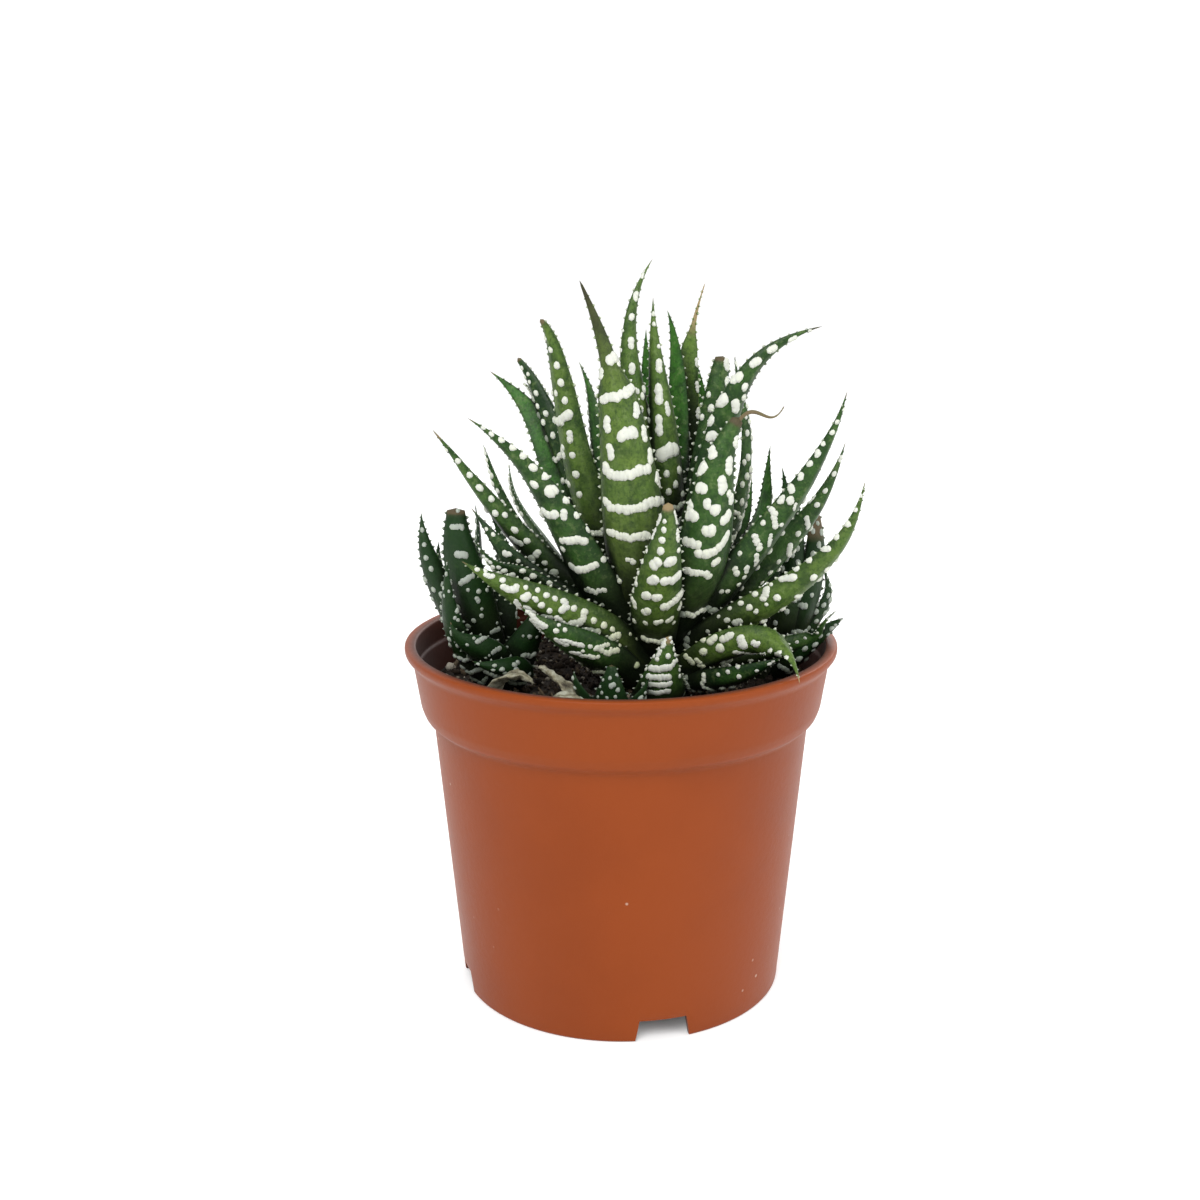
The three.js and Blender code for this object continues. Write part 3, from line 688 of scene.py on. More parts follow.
# %% Leaf places
CROWN = (7, -2)
STEM_RADIUS, STEM_HEIGHT = 5.5, 26
LEAVES = [
    [10, (-5, -12, 38.5), (-8, -14, 59.5), (-14.5, -13, 79.5), 13, -92, 0.97, (0.64, 0.38)],
    [8, (-0.5, -15, 22), (0.5, -21, 32), (1, -25, 41.5), 10.5, -88, 0.9],
    [10, (8, -14, 31), (10, -17, 44.5), (14, -17, 55.5), 11.5, -78, 0.88],
    [2, (0, -14, 3.5), (0.5, -19, 9), (1.5, -21, 16), 12, -84, 0.95],
    [8, (-14, -10, 28.5), (-22, -15, 43.5), (-34.5, -20, 56), 10.5, -122, 1],
    [4, (-14, -12, 16), (-25, -20, 24), (-35.5, -27, 31.5), 12.5, -112, 1],
    [3, (12.5, -14, 12.5), (20.5, -20.5, 14.5), (24.5, -30, 9.5), 9, -60, 1],
    [8, (16, -9, 28), (27, -12, 44), (33.5, -16, 60), 9.5, -50, 1],
    [14, (9, -7, 40), (14.5, -9, 60), (29.5, -10, 71), 9.5, -62, 1],
    [8, (-21, -6, 26.5), (-31.5, -10, 39.5), (-41.5, -13, 53), 8.5, -135, 0.98],
    [7, (19.5, -12, 20), (31, -18, 31), (36, -23, 45), 8.5, -60, 1],
    [20, (-2.5, -4, 45.5), (-5.5, -5, 66), (-1, -2, 83), 7.5, -62, 1],
    [19, (1.5, -5, 42), (0, -4, 60), (-1, -2, 76), 7.5, -88, 1],
    [16, (5, 6, 43), (6, 9, 61), (9.5, 11, 78), 9, 100, 1, (0.76, 0.5)],
    [11, (-15.5, 5, 34.5), (-22.5, 9, 50), (-32.5, 12, 61), 10.5, 108, 1],
    [14, (-13.5, -1, 39.5), (-18, -2, 60.5), (-22, -3, 72), 8.5, -125, 0.93],
    [8, (20, -1, 24.5), (30, -3, 37), (35, -6, 49.5), 9, -45, 1],
    [14, (8.5, 2, 37), (11, 3, 53.5), (12.5, 4, 64.5), 8.5, -70, 0.78],
    [2, (-12, -13, 11), (-19, -19, 16.5), (-25.5, -24, 22.5), 9, -105, 1],
    [22, (3.5, 3, 42.5), (4, 6, 60.5), (2, 7, 73), 6.5, 70, 1],
    [17, (-9.5, 6, 40.5), (-12, 9, 53.5), (-15, 11, 63), 6.5, 140, 1],
    [12, (-15, 6, 38.5), (-21.5, 10, 54), (-27, 13, 63.5), 8, -140, 0.9],
    [9, (-20, -7, 21), (-28, -11, 29), (-35, -10, 38), 8.5, -120, 1],
    [5, (-22.5, -12, 24), (-29.5, -17, 28.5), (-34, -20, 34.5), 7, -130, 1],
    [13, (15.5, 3, 37), (16.5, 5, 54), (15, 6, 64.5), 6, -20, 1],
    [2, (12, -14, 6), (17.5, -18.5, 9), (22.5, -21, 12), 6, -70, 1],
    [3, (27, -1, 9), (31.5, -3, 12), (34.5, -6, 17), 4.5, -60, 1],
    [9, (-13, 10, 31.5), (-21.5, 16, 51), (-26.5, 19, 57.5), 5.5, 160, 1],
    [7, (-22, 6, 24.5), (-30.5, 8, 38), (-34, 10, 47), 6, -160, 1],
    [6, (-20, 12, 25), (-27.5, 17, 34.5), (-29.5, 20, 41.5), 5.5, 170, 1],
    [22, (-0.5, 5, 40.5), (-1.5, 8, 56), (-2, 8, 69.5), 7, 105, 1],
    [7, (13.5, 10, 27.5), (17.5, 14, 35), (20, 16, 41), 6.5, 30, 1],
    [7, (18.5, 14, 24.5), (23, 20, 34.5), (24, 22, 45), 7, 40, 1],
    [9, (0, 13, 26), (-1, 20, 41), (-2, 25, 53), 9.5, 95, 1],
    [8, (-9, 14, 21), (-15, 22, 33), (-20, 28, 44), 9, 125, 1],
    [8, (9, 14, 22), (13, 23, 35), (15, 29, 45), 9, 65, 0.9],
    [4, (5, 17, 12), (7, 27, 19), (8, 35, 28), 8, 80, 1],
    [4, (-14, 16, 10), (-21, 23, 14), (-26, 28, 13), 7.5, 125, 1],
    [4, (16, 13, 11), (24, 20, 15), (29, 25, 21), 7.5, 40, 1],
    [12, (-5, 11, 32), (-9, 17, 48), (-10, 18, 61), 8, 110, 1],
    [12, (6.5, 11, 33), (9.5, 17, 49), (8, 20, 63), 7.5, 65, 1],
    [6, (-4, 15, 19), (-7, 25, 30), (-10, 32, 42), 8, 108, 1],
    [6, (12, 13, 19), (18, 21, 28), (21, 28, 37), 8, 52, 1],
]
print("leaves of the main rosette:", len(LEAVES))

# %% [markdown]
# ## The form of a leaf
# A leaf follows a smooth curve through four points: its root, two points on the way and its tip.
# Its section is flat on the face and rounded with a soft keel on the back. A curve with a bevel
# shape could be its skin, but the bumps must find their place on it. So the form is a formula
# that gives the surface at any share of the length and any turn round the section.


# %% Leaf form
class Leaf:
    """The form of one leaf: where its surface lies, at any share of its length and round it."""

    BACK_HEIGHT, FACE_HOLLOW = 0.76, 0.12
    THINNEST = 0.12
    FOOT_WIDTH, FOOT_SWELL, FOOT_END = 0.8, 0.2, 0.25
    STEP_ALONG, STEP_ROUND = 0.004, 0.03

    def __init__(self, row, crown, stem_radius):
        root_height, low, high, tip, self.width, facing, self.kept, *withered = row
        self.withered, self.loss = withered[0] if withered else (1, 0)
        root_radius = stem_radius * (1 - root_height / (1.5 * STEM_HEIGHT))
        inward = max(root_radius - 1, 0.5) / math.hypot(low[0], low[1])
        root = (low[0] * inward, low[1] * inward, root_height)
        self.points = np.array([root, low, high, tip]) + np.array([*crown, SOIL_HEIGHT])
        self.length = np.linalg.norm(np.diff(self.points, axis=0), axis=1).sum()
        angle = math.radians(facing)
        self.facing = np.array([math.cos(angle), math.sin(angle), 0])

    def centre(self, t):
        """The cubic through the four points."""
        t = np.asarray(t)[..., None]
        a, b, c, d = self.points
        return (
            -4.5 * (t - 1 / 3) * (t - 2 / 3) * (t - 1) * a
            + 13.5 * t * (t - 2 / 3) * (t - 1) * b
            - 13.5 * t * (t - 1 / 3) * (t - 1) * c
            + 4.5 * t * (t - 1 / 3) * (t - 2 / 3) * d
        )

    def half_width(self, t):
        """Half the width, which swells from the foot, tapers to the tip and may wither."""
        share = np.clip(np.asarray(t) * self.kept, 0, 1)
        foot = self.FOOT_WIDTH + self.FOOT_SWELL * np.minimum(1, share / self.FOOT_END)
        past = np.clip((share - self.withered) / 0.1, 0, 1)
        narrowed = 1 - self.loss * past ** 2 * (3 - 2 * past)
        half = foot * (1 - share ** 1.9) ** 1.15 * narrowed * self.width / 2
        return np.maximum(half, self.THINNEST)

    def surface(self, t, turn):
        """Points in millimetres. A turn of 0 or pi is an edge, and between them lies the back."""
        t, turn = np.broadcast_arrays(np.asarray(t, float), np.asarray(turn, float))
        along = self.centre(t + 0.01) - self.centre(t - 0.01)
        along /= np.linalg.norm(along, axis=-1, keepdims=True)
        back = self.facing - (along @ self.facing)[..., None] * along
        back /= np.linalg.norm(back, axis=-1, keepdims=True)
        side = np.cross(along, back)
        across = np.cos(turn)
        keeled = (1 - np.minimum(np.abs(across), 1) ** 1.35) ** 0.6
        hollow = -self.FACE_HOLLOW * (1 - across ** 2)
        out = np.where(np.sin(turn) > 0, self.BACK_HEIGHT * keeled, hollow)
        half = self.half_width(t)[..., None]
        return self.centre(t) + half * (across[..., None] * side + out[..., None] * back)

    def normal(self, t, turn):
        """The outward direction, and how many millimetres one unit of t and of turn is."""
        a, b = self.STEP_ALONG, self.STEP_ROUND
        by_t = (self.surface(t + a, turn) - self.surface(t - a, turn)) / (2 * a)
        by_turn = (self.surface(t, turn + b) - self.surface(t, turn - b)) / (2 * b)
        out = np.cross(by_t, by_turn)
        out /= np.maximum(np.linalg.norm(out, axis=-1, keepdims=True), 1e-9)
        outward = np.sum(out * (self.surface(t, turn) - self.centre(t)), axis=-1, keepdims=True)
        out = np.where(outward < 0, -out, out)
        return out, np.linalg.norm(by_t, axis=-1), np.linalg.norm(by_turn, axis=-1)


first_form = Leaf(LEAVES[0], CROWN, STEM_RADIUS)
print("first leaf:", round(first_form.length, 1), "mm long and", first_form.width, "mm wide")

# %% [markdown]
# ## The offsets' places
# Young rosettes stand round the foot of the main one, each with its own crown and a few leaves.
# Their rows say the same as the main rosette's. All forms are kept in one dictionary, since the
# next step looks at every leaf at once.

# %% All the leaves' forms
OFFSETS = {
    "offset_left": ((-31, 1), [
        [2, (-9.5, -5, 19), (-13, -6, 28.5), (-14, -5, 36), 6.5, -100, 1],
        [3, (-4.5, -7, 20), (-6.5, -9, 29.5), (-7, -9, 37.5), 9, -88, 0.76],
        [4, (-3.5, 2, 19), (-3.5, 3, 28), (-4.5, 3, 36.5), 6, 175, 1],
        [4, (1, 2, 18), (1, 5, 26), (-1.5, 6, 33), 6, 90, 1],
        [1, (-6.5, -9, 11), (-8.5, -12, 20), (-8.5, -13, 28.5), 6, -110, 1],
        [1, (-1, -9, 9), (-5, -13, 12.5), (-8, -15, 17), 8, -100, 1],
        [1, (-8, 2, 12), (-11.5, 5, 21), (-12, 7, 28), 6.5, 150, 1],
        [1, (4, -8, 6), (1, -14, 8), (-4, -17, 10), 7, -95, 1],
        [2, (3.5, -5, 7), (7, -8, 14), (10.5, -10, 21), 8.9, -80, 1],
    ]),
    "offset_right": ((23, 7), [
        [3, (6, -2, 15), (8, -3, 24.5), (8, -2, 34), 7.5, -70, 0.8],
        [1, (8, 0, 11), (11, -1, 17), (10, -2, 23), 6, -40, 1],
        [4, (3.5, -3, 18.5), (4.5, -3, 29), (5, -2, 36), 6.5, -110, 1],
        [3, (3, 6, 20), (4, 9, 31), (3, 11, 41), 6.5, 80, 1],
        [1, (-3, 5, 10), (-4, 9, 18), (-4, 12, 24), 6, 110, 1],
        [1, (5, -7, 7), (10, -9, 12), (13, -11, 15), 6, -60, 1],
    ]),
    "offset_back": ((-9, 28), [
        [2, (-5, 2, 14), (-8, 3, 22), (-10, 4, 29), 7, 170, 1],
        [2, (4, 3, 14), (6, 4, 22), (6, 5, 30), 7, 30, 1],
        [3, (0, 5, 17), (0, 7, 25), (-1, 8, 33), 7, 90, 1],
        [1, (-5, 6, 8), (-9, 8, 13), (-12, 8, 18), 7, 130, 1],
        [1, (5, 5, 8), (10, 6, 12), (14, 6, 17), 7, 50, 1],
    ]),
    "offset_front": ((-9, -17), [
        [0, (0, -3.5, 3.5), (0, -5, 7), (0, -5.5, 11), 7.5, -100, 0.88],
        [0, (-4, -1, 3), (-6, -2, 6), (-7, -2, 9), 6, -150, 1],
        [0, (4, -2, 3), (5.5, -3, 5), (7, -3.5, 8), 5.5, -40, 1],
    ]),
}
OFFSET_STEM_RADIUS = 3.2


def offset_crown(at):
    """The place of an offset's crown on the soil."""
    return CROWN[0] + at[0], CROWN[1] + at[1]


forms = {number: Leaf(row, CROWN, STEM_RADIUS) for number, row in enumerate(LEAVES, start=1)}
for name, (at, rows) in OFFSETS.items():
    for i, row in enumerate(rows):
        forms[f"{name} {i}"] = Leaf(row, offset_crown(at), OFFSET_STEM_RADIUS)
print("leaves:", len(LEAVES), "and in the offsets", len(forms) - len(LEAVES))

# %% [markdown]
# ## Where the leaves shelter one another
# Down between the leaves hardly any light arrives, and the skin and the bumps there are painted dark as
# shade.
# Blender's ambient occlusion node finds such places too, over again in every render. Here they
# are worked out once. From a grid of points on every leaf a few rays are sent out: the share that
# soon meets another leaf or the soil is the point's shelter, for the skin and the bumps to read.

# %% Shelter
GRID_ROWS, GRID_TURNS = 26, 14
SHELTER_REACH = 20
RAYS, RAY_START, GRAZING = 40, 0.25, 0.15

grid_t = np.linspace(0, 1, GRID_ROWS)[:, None]
grid_turn = np.linspace(-math.pi, math.pi, GRID_TURNS, endpoint=False)[None, :]
points, faces = [], []
for leaf in forms.values():
    leaf.grid = leaf.surface(grid_t, grid_turn)
    for i in range(GRID_ROWS - 1):
        for j in range(GRID_TURNS):
            a = len(points) + i * GRID_TURNS + j
            b = len(points) + i * GRID_TURNS + (j + 1) % GRID_TURNS
            faces.append((a, b, b + GRID_TURNS, a + GRID_TURNS))
    points += leaf.grid.reshape(-1, 3).tolist()
tree = BVHTree.FromPolygons(points, faces)

heights = 1 - (2 * np.arange(RAYS) + 1) / RAYS
spiral = np.arange(RAYS) * math.pi * (3 - math.sqrt(5))
across = np.sqrt(1 - heights ** 2)
rays = np.stack([across * np.cos(spiral), across * np.sin(spiral), heights], axis=-1)


def shelter_of(point, out):
    """The share of the rays over a point that meet something, where near things count more."""
    weights = rays @ out
    met = 0.0
    for ray, weight in zip(rays, weights):
        if weight > GRAZING:
            down = (point[2] - SOIL_HEIGHT) / -ray[2] if ray[2] < 0 else SHELTER_REACH
            hit = tree.ray_cast(point + out * RAY_START, ray, SHELTER_REACH)[3]
            reach = min(max(down, 0), SHELTER_REACH if hit is None else hit)
            met += weight * (1 - reach / SHELTER_REACH)
    return met / weights[weights > GRAZING].sum()


for leaf in forms.values():
    out = leaf.normal(grid_t, grid_turn)[0].reshape(-1, 3)
    found = [shelter_of(spot, way) for spot, way in zip(leaf.grid.reshape(-1, 3), out)]
    leaf.shelter = np.array(found).reshape(GRID_ROWS, GRID_TURNS)


def shelter_at(leaf, t, turn):
    """The shelter at any place on the leaf, smoothly from the grid."""
    row = np.clip(t, 0, 1) * (GRID_ROWS - 1)
    column = (turn + math.pi) / math.tau * GRID_TURNS
    low, left = np.floor(row).astype(int), np.floor(column).astype(int)
    down, over = row - low, column - left
    high = np.minimum(low + 1, GRID_ROWS - 1)
    left, right = left % GRID_TURNS, (left + 1) % GRID_TURNS
    above = leaf.shelter[low, left] * (1 - over) + leaf.shelter[low, right] * over
    below = leaf.shelter[high, left] * (1 - over) + leaf.shelter[high, right] * over
    return above * (1 - down) + below * down


print("mean shelter of leaf 1:", forms[1].shelter.mean().round(2))

# %% [markdown]
# ## A leaf's mesh
# A UV sphere already has closed ends and a closed seam. So each leaf is a UV sphere whose rings
# are laid along the leaf's curve and shaped to its section, with slow noise for the waves that a
# grown leaf has.

# %% Leaf skin mesh
WAVES_PER_MM, WAVE_HEIGHT = 0.16, 0.22


def leaf_mesh(leaf, rings, sides):
    """The leaf's closed skin, and each point's share of the length and turn round the section."""
    bm = bmesh.new()
    bmesh.ops.create_uvsphere(bm, u_segments=sides, v_segments=rings, radius=1)
    ball = np.array([vert.co for vert in bm.verts])
    t = 1 - np.arccos(np.clip(ball[:, 2], -1, 1)) / math.pi
    turn = np.arctan2(ball[:, 1], ball[:, 0])
    pole = np.abs(ball[:, 2]) > 0.99999
    points = np.where(pole[:, None], leaf.centre(t), leaf.surface(t, turn))
    for vert, point in zip(bm.verts, points):
        place = Vector(point)
        vert.co = place + Vector(leaf.facing) * noise.noise(place * WAVES_PER_MM) * WAVE_HEIGHT
    return mesh_from(bm), t, turn


trial = leaf_mesh(first_form, 64, 28)[0]
print("faces of a large leaf's skin:", len(trial.polygons))
bpy.data.meshes.remove(trial)

# %% [markdown]
# ## Bumps
# The bumps grow in rows across the back. Low on the leaf a row is a chain of bumps that join into
# a bar; further up two or three stand apart, and each next row sits between the last one's. A
# white tooth stands every few millimetres along both edges. Both rules give a list of places on
# the leaf with sizes, drawn from the leaf's own seed.

# %% Bump rule
BAR_STEP, BAR_REACH, BAR_SAG, BAR_WAVE = 0.85, 0.86, 0.9, 0.25
GAP_CHANCE = 0.35
NARROW, SLIM, BROAD = 1.0, 1.6, 2.2
PAIR, TRIPLE, SINGLE = (-0.48, 0.42), (-0.82, 0.02, 0.8), (0.0,)
UPPER_PITCH = 0.72
LAST_BUMP, LAST_TOOTH = 0.96, 0.97


def bar_of_bumps(leaf, draw, t, half, size):
    """A chain of bumps across the back that sags at the edges, often with one bump missing."""
    found = []
    count = max(3, round(half * 2.2 / BAR_STEP))
    gap = draw.randrange(count) if draw.random() < GAP_CHANCE else -1
    phase = draw.uniform(0, math.tau)
    for i in range(count):
        across = ((i + 0.5) / count * 2 - 1) * BAR_REACH
        lift = BAR_SAG * across ** 2 + BAR_WAVE * math.sin(phase + i * 1.7)
        grow = draw.uniform(0.8, 1.15)
        if i != gap:
            place = (t + lift / leaf.length, math.acos(across))
            found.append((*place, 0.78 * grow, 0.72 * size * grow, 0.5 * size))
    return found


def rule_bumps(leaf, draw, pitch, bars_until):
    """Rows of bumps over the back, as (t, turn, half width across, half length along, height)."""
    found = []
    distance = pitch * draw.uniform(0.9, 1.3)
    row = draw.randrange(2)
    while distance < leaf.length * LAST_BUMP:
        t = distance / leaf.length
        half = float(leaf.half_width(t))
        size = min(1, 0.45 + half / 7)
        if t < bars_until and half > SLIM:
            found += bar_of_bumps(leaf, draw, t, half, size)
        else:
            spots = PAIR if row % 2 else (TRIPLE if half > BROAD else SINGLE)
            for across in SINGLE if half < NARROW else spots:
                across += draw.uniform(-0.12, 0.12)
                along = t + draw.uniform(-0.3, 0.3) * pitch / leaf.length
                grow = draw.uniform(0.75, 1.2) * size
                turn = math.acos(max(-0.95, min(0.95, across)))
                found.append((along, turn, 0.72 * grow, 0.95 * grow, 0.52 * grow))
        row += 1
        distance += pitch * draw.uniform(0.85, 1.15) * (UPPER_PITCH if t > bars_until else 1)
    return found


def edge_teeth(leaf, draw, spacing):
    """Small white teeth along both edges."""
    found = []
    for edge in (0.0, math.pi):
        distance = spacing * draw.uniform(0.8, 2)
        while distance < leaf.length * LAST_TOOTH:
            t = distance / leaf.length
            size = min(1, 0.5 + float(leaf.half_width(t)) / 6) * draw.uniform(0.75, 1.15)
            found.append((t, edge + draw.uniform(-0.02, 0.02), 0.36 * size, 0.46 * size, 0.6 * size))
            distance += spacing * draw.uniform(0.75, 1.3)
    return found


print("bumps by the rule on leaf 1:", len(rule_bumps(forms[1], random.Random("trial"), 4, 0.5)))

# %% [markdown]
# ## The bumps' meshes
# Every bump is the same small ball of forty faces, flattened and half sunk. Its points are laid
# on the leaf through the leaf's own surface, so a wide one bends round the back. Copies of one
# mesh keep thousands of bumps light.

# %% Bump meshes
ball_bm = bmesh.new()
bmesh.ops.create_uvsphere(ball_bm, u_segments=8, v_segments=5, radius=1)
ball_mesh = mesh_from(ball_bm)
BALL = np.array([vert.co for vert in ball_mesh.vertices])
SUNK = -0.35
YELLOW_ENDS = 0.5


def bump_mesh(leaf, bumps, tone, yellow, white=1.0, point=0.0):
    """All the bumps of a leaf, laid on its surface and perhaps pointed, as one mesh."""
    t, turn, wide, long, high = np.array(bumps).T
    out, by_t, by_turn = leaf.normal(t, turn)
    phase = (t + turn)[:, None] * 997
    around = np.arctan2(BALL[:, 1], BALL[:, 0])
    wobble = 1 + 0.07 * np.cos(2 * around + phase) + 0.05 * np.cos(3 * around + 1.7 * phase)
    wobble *= 1 - point * np.maximum(BALL[:, 2], 0)
    along = t[:, None] + wobble * BALL[:, 1] * (long / by_t)[:, None]
    reach = np.maximum(by_turn, 0.5 * leaf.half_width(t))
    round_it = turn[:, None] + wobble * BALL[:, 0] * (wide / reach)[:, None]
    base = leaf.surface(np.clip(along, 0, 1), round_it)
    lift = np.maximum(BALL[:, 2], SUNK) * high[:, None]
    places = base + out[:, None, :] * lift[..., None]
    mesh = mesh_from(copies(ball_mesh, len(bumps), places.reshape(-1, 3)))
    share = np.repeat(t, len(BALL))
    set_values(
        mesh,
        along=share,
        tone=tone,
        bump=np.tile(np.clip(BALL[:, 2] * 0.6 + 0.55, 0, 1) * white, len(bumps)),
        shelter=np.repeat(shelter_at(leaf, t, turn), len(BALL)),
        yellow=yellow * (1 - np.clip(share / YELLOW_ENDS, 0, 1)),
    )
    return mesh


print("points in a bump:", len(BALL))
